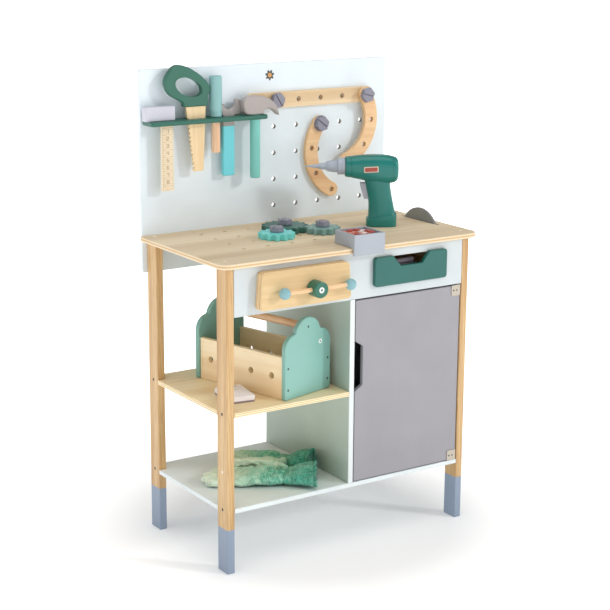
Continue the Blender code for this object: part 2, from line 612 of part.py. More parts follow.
def make_hammer():
    top = RACK_Z[1]
    origin = point(HAMMER_X, HAMMER_Y, top)
    low = 698.6
    length = top - low
    handle = [(0, 0), (9.0, 0), (10.2, 1.4), (10.2, length), (0, length)]
    lathe("hammer_handle", handle, (HAMMER_X, HAMMER_Y, low), (0, 0, 1), TEAL, origin=origin, roughness=0.4)
    base = top + GAP
    rim = [(-15.5, 0.0), (-26.0, 4.6), (-28.5, 11.2), (-30.4, 20.7), (-30.0, 28.7), (-25.0, 34.0),
           (-16.8, 36.7),
           (3.0, 37.1), (20.0, 34.2), (31.8, 28.9), (41.0, 21.7), (46.5, 14.4), (50.8, 4.7), (52.0, -3.5),
           (48.4, -1.5), (44.7, 2.1), (39.0, 6.7), (31.9, 9.6), (24.0, 10.7), (18.3, 8.2), (15.5, 4.2), (15.5, 0.0)]
    outline = [(HAMMER_X + x, base + max(z, -4.0)) for x, z in smooth_loop(rim, 2) if x > 20 or z > -0.02]
    slab("hammer_head", outline, (HAMMER_Y - 8.5, HAMMER_Y + 8.5), TOOL_GREY, edge=2.2, plane=FRONT,
         origin=origin,
         roughness=0.4)


# ---- pegboard bars, bolts and nuts --------------------------------------------------------------
BAR_Z = BOARD_ROW0 + 4 * PITCH
PIN_LEFT = (BOARD_COL0 + 2 * PITCH, BOARD_ROW0 + 3 * PITCH)
PIN_RIGHT = (BOARD_COL0 + 4 * PITCH, BAR_Z)
BAR_HOLE_R = 5.3


def make_straight_bar():
    half, corner = BAR_H / 2, 4.0
    left, right = BOARD_COL0 - PITCH, PIN_RIGHT[0] + 17.0
    quarter = math.pi / 2
    outline = (arc((left, BAR_Z), half, quarter, 3 * quarter, 12)
               + arc((right - corner, BAR_Z - half + corner), corner, -quarter, 0.0, 3)
               + arc((right - corner, BAR_Z + half - corner), corner, 0.0, quarter, 3))
    holes = [circle((BOARD_COL0 + PITCH * i, BAR_Z), BAR_HOLE_R, 16) for i in range(-1, 5)]
    slab("straight_bar", outline, (BAR_Y, BAR_Y + BAR_T), PLYWOOD, holes, edge=1.0, plane=FRONT,
         roughness=0.5)


def curved_bar(name, pin, center, start, sign, front, count=14):
    """An arc-shaped bar with four holes on its centre line; the first hole sits on the pin."""
    start = math.radians(start)
    end = start + sign * math.radians(3 * ARC_TURN)
    outer = arc(center, ARC_R + ARC_HALF, start, end, count)
    inner = arc(center, ARC_R - ARC_HALF, end, start, count)
    far = (center[0] + ARC_R * math.cos(end), center[1] + ARC_R * math.sin(end))
    cap_far = arc(far, ARC_HALF, end, end + sign * math.pi, 8)[1:-1]
    cap_near = arc(pin, ARC_HALF, start + math.pi, start + math.pi + sign * math.pi, 8)[1:-1]
    turns = [start + sign * math.radians(ARC_TURN) * i for i in range(4)]
    holes = [circle((center[0] + ARC_R * math.cos(a), center[1] + ARC_R * math.sin(a)), BAR_HOLE_R, 14)
             for a in turns]
    slab(name, outer + cap_far + inner + cap_near, (front, front + BAR_T), PLYWOOD, holes, edge=1.0,
         plane=FRONT,
         origin=point(pin[0], front, pin[1]), roughness=0.5)


def arc_center(pin, heading):
    """Centre of a curved bar's hole line, seen from its pin at the given angle."""
    turn = math.radians(heading)
    return (pin[0] - ARC_R * math.cos(turn), pin[1] - ARC_R * math.sin(turn))


def make_curved_bars():
    curved_bar("curved_bar_left", PIN_LEFT, arc_center(PIN_LEFT, 140.0), 140.0, 1.0, BAR_Y)
    curved_bar("curved_bar_right", PIN_RIGHT, arc_center(PIN_RIGHT, 32.5), 32.5, -1.0, BAR_Y - GAP - BAR_T)


def hex_bolt(name, base, axis, shank, head_t, head_r, slot_turn=0.0, washer=0.0):
    """A slotted hexagonal head, with or without a round washer under it, and a round shank below the base."""
    tip_r, lip = 4.6, 1.2
    washer_t = 2.0 if washer else 0.0
    aim = Vector((0, 0, 1)).rotation_difference(Vector(axis)).to_matrix().to_4x4()
    local = BENCH @ Matrix.Translation(base) @ aim
    head = slab_mesh(circle((0, 0), head_r, 6, math.radians(12.0)), head_t - washer_t, (), lip,
                     depth0=washer_t)
    head.transform(local)
    bolt = finish(name, head, BOLT_GREY, BENCH @ Vector(base), roughness=0.4)
    profile = [(0, -shank), (tip_r - 0.8, -shank), (tip_r, -shank + 1.0), (tip_r, 1.0)]
    if washer:
        profile = profile[:-1] + [(tip_r, 0), (washer - 0.5, 0), (washer, 0.5), (washer, 1.7),
                                  (washer - 0.5, 2.2)]
    stem = lathe_mesh(profile + [(0, profile[-1][1])], 20)
    stem.transform(local)
    boolean(bolt, stem, "UNION")
    slot_w, slot_deep = 2.4, 3.0
    spin = local @ Matrix.Rotation(slot_turn, 4, "Z")
    slot = box_mesh((-head_r - 2, -slot_w / 2, head_t - slot_deep), (head_r + 2, slot_w / 2, head_t + 2),
                    spin)
    boolean(bolt, slot, "DIFFERENCE")


def hex_nut(name, at, y0, y1):
    slab(name, circle(at, 12.7, 6), (y0, y1), BOLT_GREY, [circle(at, 5.0, 16)], edge=1.0, plane=FRONT,
         roughness=0.4)


def make_board_bolts():
    bar_pin = (BOARD_COL0, BAR_Z)
    for label, at, layers, turn, washer in (("left", bar_pin, 1, -58.0, 0.0),
                                            ("middle", PIN_LEFT, 1, -37.0, 16.6),
                                            ("right", PIN_RIGHT, 2, -17.0, 0.0)):
        face = BENCH_D - layers * (BAR_T + GAP) - GAP
        hex_bolt("board_bolt_" + label, (at[0], face, at[1]), (0, -1, 0), BOLT_END - face, 10.3, 16.0,
                 slot_turn=math.radians(turn), washer=washer)
        hex_nut("board_nut_" + label, at, BENCH_D + BOARD_T + GAP, NUT_BACK)


# ---- gears on the worktop -----------------------------------------------------------------------
GEAR_TURQUOISE = (TOP_COL0 + 2 * PITCH, TOP_ROW0 + PITCH)
GEAR_LARGE = (TOP_COL0 + 3 * PITCH, TOP_ROW0 + 2 * PITCH)
GEAR_SMALL = (TOP_COL0 + 4 * PITCH, TOP_ROW0 + PITCH)


def gear_outline(center, teeth):
    """Round-topped teeth on a wheel whose pitch circle meets its neighbour's between the two centres."""
    spacing = PITCH * math.sqrt(2)
    pitch_r = spacing * teeth / (TEETH_SMALL + TEETH_LARGE)
    crest, root = 4.0, 4.8
    outline = []
    per_tooth = 7
    for i in range(teeth * per_tooth):
        phase = 2 * math.pi * i / per_tooth
        wave = math.cos(phase)
        shape = math.copysign(abs(wave) ** 0.75, wave)
        radius = pitch_r - 0.35 + (crest * shape if shape > 0 else root * shape)
        angle = 2 * math.pi * i / (teeth * per_tooth)
        outline.append((center[0] + radius * math.cos(angle), center[1] + radius * math.sin(angle)))
    return outline


def make_gears():
    low = TOP_Z + GAP
    for name, at, teeth, color in (("gear_turquoise", GEAR_TURQUOISE, TEETH_SMALL, TURQUOISE),
                                   ("gear_green", GEAR_LARGE, TEETH_LARGE, GEAR_GREEN),
                                   ("gear_teal", GEAR_SMALL, TEETH_SMALL, GEAR_TEAL)):
        slab(name, gear_outline(at, teeth), (low, low + GEAR_T), color, [circle(at, 5.3, 14)], edge=0.8,
             origin=point(at[0], at[1], low), roughness=0.4)
        hex_bolt(name.replace("gear", "gear_screw"), (at[0], at[1], low + GEAR_T + GAP), (0, 0, 1),
                 GEAR_T + 9.0, 11.1, 14.2, slot_turn=math.radians(30.0))


# ---- drill --------------------------------------------------------------------------------------
def loft(sections, count=20):
    """Join superellipse rings: each has a centre, two half-axis vectors and an exponent."""
    bm = bmesh.new()
    rings = []
    for center, u, v, power in sections:
        ring = []
        for i in range(count):
            a = 2 * math.pi * (i + 0.5) / count
            c, s = math.cos(a), math.sin(a)
            cu = math.copysign(abs(c) ** (2 / power), c)
            sv = math.copysign(abs(s) ** (2 / power), s)
            ring.append(bm.verts.new(Vector(center) + Vector(u) * cu + Vector(v) * sv))
        rings.append(ring)
    for low, high in zip(rings, rings[1:]):
        for i in range(count):
            j = (i + 1) % count
            bm.faces.new((low[i], low[j], high[j], high[i]))
    bm.faces.new(list(reversed(rings[0])))
    bm.faces.new(rings[-1])
    bmesh.ops.recalc_face_normals(bm, faces=bm.faces)
    return bm


def make_drill():
    frame = place(DRILL_AT, DRILL_TURN, TOP_Z + GAP)
    origin = frame @ Vector((0, 0, 0))
    body = []
    for x, low, high, half, power in ((-76.0, 101.5, 138.0, 18.0, 2.4), (-74.5, 100.0, 139.5, 19.5, 2.6),
                                      (-64.0, 98.5, 141.0, 20.5, 2.6), (-45.0, 94.5, 143.0, 22.0, 2.8),
                                      (-20.0, 89.5, 144.3, 23.5, 3.0), (5.0, 87.0, 143.3, 23.5, 3.0),
                                      (20.0, 88.0, 140.5, 23.0, 2.8), (27.5, 91.5, 137.5, 21.0, 2.6),
                                      (30.0, 96.0, 133.0, 17.5, 2.4)):
        body.append(((x, 0, (low + high) / 2), (0, half, 0), (0, 0, (high - low) / 2), power))
    grip = []
    for z, back, front, half, power, slant in ((0.0, 26.5, -30.0, 19.0, 3.6, 0.0),
                                               (2.0, 28.5, -32.0, 20.5, 3.6, 0.0),
                                               (20.0, 28.5, -32.0, 20.5, 3.4, 5.0),
                                               (23.0, 26.0, -28.5, 18.0, 3.0, 4.5),
                                               (48.0, 21.5, -28.0, 16.5, 2.8, 0.0),
                                               (78.0, 16.0, -33.5, 17.0, 2.8, 0.0),
                                               (102.0, 15.0, -38.0, 18.0, 2.8, 0.0)):
        grip.append((((back + front) / 2, 0, z), ((back - front) / 2, 0, slant), (0, half, 0), power))
    bm = loft(body, 22)
    bm.transform(frame)
    drill = finish("drill_body", bm, DRILL_GREEN, origin, roughness=0.35)
    handle = loft(grip, 20)
    handle.transform(frame)
    boolean(drill, handle, "UNION")
    pocket = box_mesh((-56.0, -5.6, 54.2), (-21.5, 5.6, 88.8), frame)
    boolean(drill, pocket, "DIFFERENCE")
    chuck = [(0, 0.0), (16.2, 0.0), (16.9, 0.8), (16.9, 13.5), (16.0, 15.0), (12.8, 15.6), (12.4, 17.0),
             (12.2, 22.0),
             (10.2, 35.5), (9.0, 37.0), (6.6, 37.6), (6.2, 39.0), (5.8, 51.0), (5.0, 52.4), (4.4, 53.0),
             (1.0, 78.5),
             (0, 79.5)]
    lathe("drill_chuck", chuck, (-76.0 - GAP, 0, DRILL_AXIS_Z), (-1, 0, 0), BOLT_GREY, count=24, frame=frame,
          roughness=0.4)
    trigger = [(-26.0, 55.0), (-26.0, 88.0), (-45.5, 88.0), (-44.5, 80.0), (-41.0, 68.0), (-37.0, 55.0)]
    slab("drill_trigger", trigger, (-4.8, 4.8), BOLT_GREY, edge=1.2, plane=FRONT, frame=frame,
         origin=frame @ Vector((-33.0, 0, 71.0)), roughness=0.4)


# ---- tool box, parts box, block and gloves -----------------------------------------------------------
def cloud_outline():
    half, shoulder_r, shoulder_z = TOOLBOX_W / 2, 28.0, 97.0
    lobe_r, lobe_z, foot = 37.0, 116.0, 4.0
    join_x = 35.6
    shoulder_x = half - shoulder_r
    join_shoulder = math.acos((join_x - shoulder_x) / shoulder_r)
    join_lobe = math.acos(join_x / lobe_r)
    quarter = math.pi / 2
    right = (arc((half - foot, foot), foot, -quarter, 0, 3)
             + arc((shoulder_x, shoulder_z), shoulder_r, 0, join_shoulder, 8)[:-1])
    left = [(-x, z) for x, z in reversed(right)]
    return right + arc((0.0, lobe_z), lobe_r, join_lobe, math.pi - join_lobe, 18) + left


def make_toolbox():
    frame = place(TOOLBOX_AT, TOOLBOX_TURN, MID_Z + GAP)
    origin = frame @ Vector((0, 0, 0))
    half_l = TOOLBOX_L / 2
    for name, y in (("toolbox_end_front", -half_l), ("toolbox_end_rear", half_l - TOOLBOX_END_T)):
        slab(name, cloud_outline(), (y, y + TOOLBOX_END_T), MINT, edge=1.4, plane=FRONT, frame=frame,
             origin=origin,
             roughness=0.45)
    inner = half_l - TOOLBOX_END_T - GAP
    half_w, height, wall, floor = TOOLBOX_W / 2 - 4.0, 83.0, 9.0, 6.0
    tray = block("toolbox_tray", (-half_w, -inner, 0), (half_w, inner, height), PLYWOOD, 0.8, frame=frame,
                 origin=origin, roughness=0.5)
    cavity = box_mesh((-half_w + wall, -inner - 5, floor), (half_w - wall, inner + 5, height + 5), frame)
    boolean(tray, cavity, "DIFFERENCE")
    for k in range(4):
        y = -81.0 + 54.0 * k
        for side in (-1, 1):
            hole = rod_mesh((side * (half_w - wall - 4), y, 43.0), (side * (half_w + 4), y, 43.0), 6.6, 14,
                            frame)
            boolean(tray, hole, "DIFFERENCE")
    dowel = [(0, 0), (7.0, 0), (7.5, 0.5), (7.5, 2 * inner - 0.5), (7.0, 2 * inner), (0, 2 * inner)]
    lathe("toolbox_dowel", dowel, (0, -inner, 134.0), (0, 1, 0), PINE, frame=frame, origin=origin,
          roughness=0.5)


def make_parts_box():
    """A small tray that stands on the worktop and hooks over its front edge."""
    frame = place(PARTS_AT, PARTS_TURN, TOP_Z + GAP)
    origin = frame @ Vector((0, 0, 0))
    half, plate, deep = 34.8, 6.0, 63.0
    profile = [(-plate, -14.0), (0.0, -14.0), (0.0, 0.0), (deep, 0.0), (deep, 26.0), (-plate, 26.0)]
    tray = slab("parts_box", profile, (-half, half), BOX_GREY, edge=0.8, plane=SIDE, frame=frame,
                origin=origin,
                roughness=0.45)
    wall = 4.5
    cavity = box_mesh((-half + wall, -1.0, 4.0), (half - wall, deep - wall, 45.0), frame)
    boolean(tray, cavity, "DIFFERENCE")


def make_sanding_block():
    frame = place(BLOCK_AT, BLOCK_TURN, MID_Z + GAP)
    origin = frame @ Vector((0, 0, 0))
    slot = rounded_rect((-16.0, 27.0), (16.0, 31.0), 1.6, 2)
    slab("sanding_block", rounded_rect((-27.0, -38.0), (27.0, 38.0), 3.0, 3), (0.0, 12.5), LILAC, [slot],
         edge=1.0,
         frame=frame, origin=origin, roughness=0.5)


def make_gloves():
    """Plain pads of the gloves' outer shape: fingers at the left end, the cuff at the right."""
    flat = ((-1.0, 0.40, 12.0), (-0.92, 0.72, 18.0), (-0.65, 0.93, 24.0), (-0.2, 1.0, 28.0),
            (0.25, 0.97, 29.0))
    wide_cuff = flat + ((0.5, 0.84, 28.0), (0.85, 0.82, 33.0), (1.0, 0.82, 35.0))
    slim_cuff = flat + ((0.5, 0.78, 28.0), (0.85, 0.66, 33.0), (1.0, 0.66, 36.0))
    for name, at, turn, half_l, widest, shape in (
            ("glove_front", (-153.0, 101.0), -34.0, 116.0, 37.0, wide_cuff),
            ("glove_rear", (-90.0, 173.0), -52.0, 100.0, 34.5, slim_cuff)):
        frame = place(at, math.radians(turn), SHELF_Z + GAP)
        sections = [((along * half_l, 0, high / 2), (0, widest * wide, 0), (0, 0, high / 2), 3.0)
                    for along, wide, high in shape]
        bm = loft(sections, 16)
        bm.transform(frame)
        finish(name, bm, KNIT, frame @ Vector((0, 0, 0)), roughness=0.9)


def main():
    for obj in list(bpy.data.objects):
        bpy.data.objects.remove(obj)
    make_legs()
    make_worktop()
    make_pegboard()
    make_apron()
    make_shelves()
    make_cupboard()
    make_door()
    make_drawer()
    make_vise()
    make_saw_disc()
    make_rack()
    make_square()
    make_saw()
    make_screwdriver()
    make_wrench()
    make_hammer()
    make_straight_bar()
    make_curved_bars()
    make_board_bolts()
    make_gears()
    make_drill()
    make_toolbox()
    make_parts_box()
    make_sanding_block()
    make_gloves()


main()
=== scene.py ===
"""Looks of the toy workbench: paints, pine, plywood, knitted gloves and small fittings on the CAD frame.

Bench millimetres, as in the CAD: x from the worktop's centre, y from the legs' front plane, z from the floor.
"""
import json
import math
import random

import bmesh
import bpy
from mathutils import Euler, Matrix, Vector, noise

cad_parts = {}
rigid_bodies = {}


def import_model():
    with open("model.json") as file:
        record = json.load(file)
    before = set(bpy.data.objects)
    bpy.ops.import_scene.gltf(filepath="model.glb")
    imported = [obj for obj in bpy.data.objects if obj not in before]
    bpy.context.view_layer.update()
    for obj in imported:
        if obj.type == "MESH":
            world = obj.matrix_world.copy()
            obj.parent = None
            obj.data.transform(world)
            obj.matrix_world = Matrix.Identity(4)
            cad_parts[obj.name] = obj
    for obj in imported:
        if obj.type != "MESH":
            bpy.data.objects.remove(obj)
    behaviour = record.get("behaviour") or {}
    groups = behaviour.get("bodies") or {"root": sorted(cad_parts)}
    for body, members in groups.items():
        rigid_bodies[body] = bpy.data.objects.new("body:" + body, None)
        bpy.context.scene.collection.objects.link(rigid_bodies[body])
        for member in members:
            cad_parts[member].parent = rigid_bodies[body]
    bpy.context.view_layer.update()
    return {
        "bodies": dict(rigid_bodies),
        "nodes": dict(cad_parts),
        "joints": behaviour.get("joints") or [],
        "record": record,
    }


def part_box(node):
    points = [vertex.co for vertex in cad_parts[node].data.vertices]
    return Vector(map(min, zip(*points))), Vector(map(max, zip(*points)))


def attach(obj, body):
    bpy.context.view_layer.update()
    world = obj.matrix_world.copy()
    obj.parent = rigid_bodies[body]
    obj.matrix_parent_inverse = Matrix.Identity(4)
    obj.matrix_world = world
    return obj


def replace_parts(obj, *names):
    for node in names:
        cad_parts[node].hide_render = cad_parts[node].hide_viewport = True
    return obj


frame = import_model()
NODES = frame["nodes"]

MM = 0.001
FRONT_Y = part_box("leg_front_left")[0].y
TAU = 2 * math.pi
AIR = 0.3                       # gap under things that stand on a face
TOP_Z = 600.0                   # upper face of the worktop
BOTTOM_Z = 128.6                # upper face of the bottom shelf, with the gap
SHELF_Z = 315.3                 # upper face of the middle shelf, with the gap
TOOLBOX_TURN = 15.0             # degrees


def at(x, y, z):
    """Bench millimetres to metres in the row frame."""
    return Vector((x * MM, y * MM + FRONT_Y, z * MM))


def place(spot, turn=0.0, z=0.0):
    """Local millimetres, turned about Z, to metres in the row frame."""
    return Matrix.Translation(at(spot[0], spot[1], z)) @ Matrix.Rotation(turn, 4, "Z") @ Matrix.Scale(MM, 4)


BENCH = place((0.0, 0.0))
DRILL = place((170.0, 143.0), math.radians(-30.0), TOP_Z + AIR)
TOOLBOX = place((-113.0, 145.4), math.radians(TOOLBOX_TURN), SHELF_Z)
PARTS = place((21.6, -16.3), math.radians(-2.0), TOP_Z + AIR)
BLOCK = place((-211.0, 87.0), math.radians(-9.4), SHELF_Z)
FLAT = Matrix.Identity(4)


# ---- materials ----------------------------------------------------------------------------------
def rgb(red, green, blue):
    """Linear colour from 0-255 display values."""
    channels = [c / 255 for c in (red, green, blue)]
    return tuple(c / 12.92 if c < 0.04045 else ((c + 0.055) / 1.055) ** 2.4 for c in channels)


def shade(color, gain):
    """A lighter or darker tone of a linear colour."""
    return tuple(min(1.0, c * gain) for c in color)


class Look:
    """A Principled material with a small set of procedural building blocks."""

    def __init__(self, name, roughness=0.5, **sockets):
        self.material = bpy.data.materials.new(name)
        self.material.use_nodes = True
        self.tree = self.material.node_tree
        self.shader = self.tree.nodes["Principled BSDF"]
        self.shader.inputs["Roughness"].default_value = roughness
        for key, value in sockets.items():
            self.shader.inputs[key.replace("_", " ")].default_value = value

    def put(self, socket, value):
        """Links a socket or sets a plain value."""
        if isinstance(value, bpy.types.NodeSocket):
            self.tree.links.new(value, socket)
        elif hasattr(value, "__len__") and len(value) == 3 and socket.type == "RGBA":
            socket.default_value = (*value, 1.0)
        else:
            socket.default_value = value

    def add(self, kind, inputs, output=0, **settings):
        """Adds a shader node and returns one of its outputs."""
        node = self.tree.nodes.new("ShaderNode" + kind)
        for key, value in settings.items():
            setattr(node, key, value)
        for key, value in inputs.items():
            self.put(node.inputs[key], value)
        return node.outputs[output]

    def coords(self, scale=(1, 1, 1), turn=(0, 0, 0), shift=(0, 0, 0)):
        """Object coordinates, first turned and shifted, then scaled."""
        source = self.add("TexCoord", {}, "Object")
        turned = self.add("Mapping", {"Vector": source, "Rotation": turn, "Location": shift})
        return self.add("Mapping", {"Vector": turned, "Scale": scale})

    def axis(self, name):
        """One object coordinate in metres."""
        return self.add("SeparateXYZ", {0: self.add("TexCoord", {}, "Object")}, name)

    def noise(self, vector, scale, detail=2.0, rough=0.5):
        return self.add("TexNoise", {"Vector": vector, "Scale": scale, "Detail": detail, "Roughness": rough})

    def wave(self, vector, scale, distortion, detail, detail_scale, direction):
        """Parallel bands across one direction, 0 to 1."""
        inputs = {"Vector": vector, "Scale": scale, "Distortion": distortion, "Detail": detail,
                  "Detail Scale": detail_scale}
        return self.add("TexWave", inputs, 1, bands_direction=direction)

    def ramp(self, fac, stops):
        """Stops are (position, colour or grey level)."""
        node = self.tree.nodes.new("ShaderNodeValToRGB")
        ramp = node.color_ramp
        while len(ramp.elements) < len(stops):
            ramp.elements.new(0.5)
        for element, (position, color) in zip(ramp.elements, stops):
            element.position = position
            element.color = (*color, 1.0) if hasattr(color, "__len__") else (color, color, color, 1.0)
        self.put(node.inputs[0], fac)
        return node.outputs[0]

    def mix(self, fac, a, b):
        """Colour a where fac is 0 and b where it is 1; sockets 6 and 7 are the node's two colours."""
        return self.add("Mix", {0: fac, 6: a, 7: b}, 2, data_type="RGBA")

    def math(self, operation, a, b):
        return self.add("Math", {0: a, 1: b}, operation=operation)

    def minus(self, value):
        """1 minus the value."""
        return self.math("SUBTRACT", 1.0, value)

    def step(self, value, edge, width):
        """0 below the edge, 1 above it."""
        return self.add("MapRange", {0: value, 1: edge - width, 2: edge + width})

    def base(self):
        """The socket that gives the colour now."""
        return self.shader.inputs["Base Color"].links[0].from_socket

    def color(self, value):
        self.put(self.shader.inputs["Base Color"], value)

    def rough(self, fac, low, high):
        self.put(self.shader.inputs["Roughness"], self.add("MapRange", {0: fac, 3: low, 4: high}))

    def bump(self, *layers):
        """Each layer is (height, strength, distance in metres)."""
        normal = None
        for height, strength, distance in layers:
            inputs = {"Height": height, "Strength": strength, "Distance": distance}
            if normal is not None:
                inputs["Normal"] = normal
            normal = self.add("Bump", inputs)
        self.put(self.shader.inputs["Normal"], normal)


GRAIN_SCALE = {"X": (0.05, 1, 1), "Y": (1, 0.05, 1), "Z": (1, 1, 0.05)}
PINE_PERIOD = 0.006             # metres from stripe to stripe
CROSS_PLY = rgb(206, 170, 122)


def paint(name, color, rough, grain, seed):
    """Sprayed paint on sanded wood: faint tone patches, orange peel and fibres that show through."""
    look = Look(name, rough, Coat_Weight=0.06, Coat_Roughness=0.3)
    spot = look.coords(shift=(seed, seed * 0.7, seed * 1.3))
    patches = look.noise(spot, 11.0, 3.0)
    tone = look.ramp(patches, [(0.32, shade(color, 0.955)), (0.68, shade(color, 1.03))])
    fibres = look.noise(look.coords(GRAIN_SCALE[grain], shift=(seed, 0, seed)), 420.0, 3.0, 0.6)
    look.color(look.mix(look.ramp(fibres, [(0.35, 0.16), (0.6, 0.0)]), tone, shade(color, 0.9)))
    look.rough(look.noise(spot, 60.0, 2.0), rough - 0.06, rough + 0.08)
    look.bump((fibres, 0.12, 0.0004), (look.noise(spot, 900.0, 1.0), 0.05, 0.0002))
    return look


def wood_tone(look, grain, light, mid, dark, seed, period, turn=(0, 0, 0), contrast=1.0):
    """Colour and fibre height of bare wood whose grain runs along one axis."""
    shift = (seed * 0.37, seed * 0.71, seed * 0.53)
    along = look.coords(GRAIN_SCALE[grain], turn, shift)
    bands = look.wave(along, 0.628 / period, 5.0, 2.0, 2.2, "DIAGONAL")
    streaks = look.noise(along, 0.42 / period, 3.0, 0.55)
    fibres = look.noise(along, 700.0, 2.0, 0.6)
    broad = look.ramp(streaks, [(0.3, dark), (0.5, mid), (0.7, light)])
    ringed = look.mix(look.ramp(bands, [(0.45, 0.0), (0.95, 0.5 * contrast)]), broad, dark)
    veins = look.ramp(fibres, [(0.3, 0.22 * contrast), (0.55, 0.0)])
    return look.mix(veins, ringed, shade(dark, 0.85)), fibres


def pine(name, grain, seed, light, mid, dark):
    """Clear-coated pine with its straight stripes."""
    look = Look(name, 0.45, Coat_Weight=0.15, Coat_Roughness=0.25)
    tone, fibres = wood_tone(look, grain, light, mid, dark, seed, PINE_PERIOD)
    look.color(tone)
    look.bump((fibres, 0.15, 0.0004))
    return look


def plywood(name, grain, normal, lo, hi, seed, light, mid, dark, layers=3, period=0.016):
    """Clear-coated plywood: quiet veneer on the faces and thin light and dark plies between lo and hi."""
    look = Look(name, 0.55, Coat_Weight=0.06, Coat_Roughness=0.4)
    tone, fibres = wood_tone(look, grain, light, mid, dark, seed, period, contrast=0.55)
    depth = look.add("MapRange", {0: look.axis(normal), 1: lo, 2: hi})
    stops = []
    for k in range(layers):
        ply = shade(light, 1.06) if k % 2 == 0 else CROSS_PLY
        stops += [((k + 0.06) / layers, ply), ((k + 0.94) / layers, ply)]
    plies = look.ramp(depth, stops)
    inside = look.math("MULTIPLY", look.step(depth, 0.09, 0.01), look.minus(look.step(depth, 0.91, 0.01)))
    look.color(look.mix(look.math("MULTIPLY", inside, 0.85), tone, plies))
    look.rough(fibres, 0.5, 0.64)
    look.bump((fibres, 0.1, 0.0003))
    return look


def metal(name, color, rough):
    """Plated steel with fine rub marks."""
    look = Look(name, rough, Metallic=1.0)
    marks = look.noise(look.coords((1, 1, 8)), 300.0, 3.0)
    look.color(look.ramp(marks, [(0.3, shade(color, 0.8)), (0.7, color)]))
    look.rough(marks, rough - 0.1, rough + 0.12)
    look.bump((marks, 0.1, 0.0001))
    return look


FOOT_BLUE = rgb(140, 155, 176)
BOLT_LILAC = rgb(163, 162, 178)
TOOL_GREY = rgb(168, 160, 157)
FOOT_TOP = 0.088                # where the legs' blue paint ends
HANDLE_TOP = 0.804              # where the wrench's blue handle ends
BLOCK_LAYER = (SHELF_Z + 3.6) * MM
JAW_THICK = 0.0101
VARNISHED_ORANGE = (rgb(242, 204, 158), rgb(234, 193, 146), rgb(214, 168, 120))


def leg_look(name, seed):
    """Pine with a painted lower end."""
    look = pine(name, "Z", seed, rgb(220, 188, 138), rgb(208, 172, 120), rgb(183, 139, 88))
    look.color(look.mix(look.step(look.axis("Z"), FOOT_TOP, 0.0004), FOOT_BLUE, look.base()))
    return look


def set_look(look, *nodes):
    """Gives CAD nodes one material."""
    for node in nodes:
        mesh = NODES[node].data
        mesh.materials.clear()
        mesh.materials.append(look.material)


def box_side(node, axis):
    """Where a node starts and ends along one axis."""
    lo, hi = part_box(node)
    return lo["XYZ".index(axis)], hi["XYZ".index(axis)]


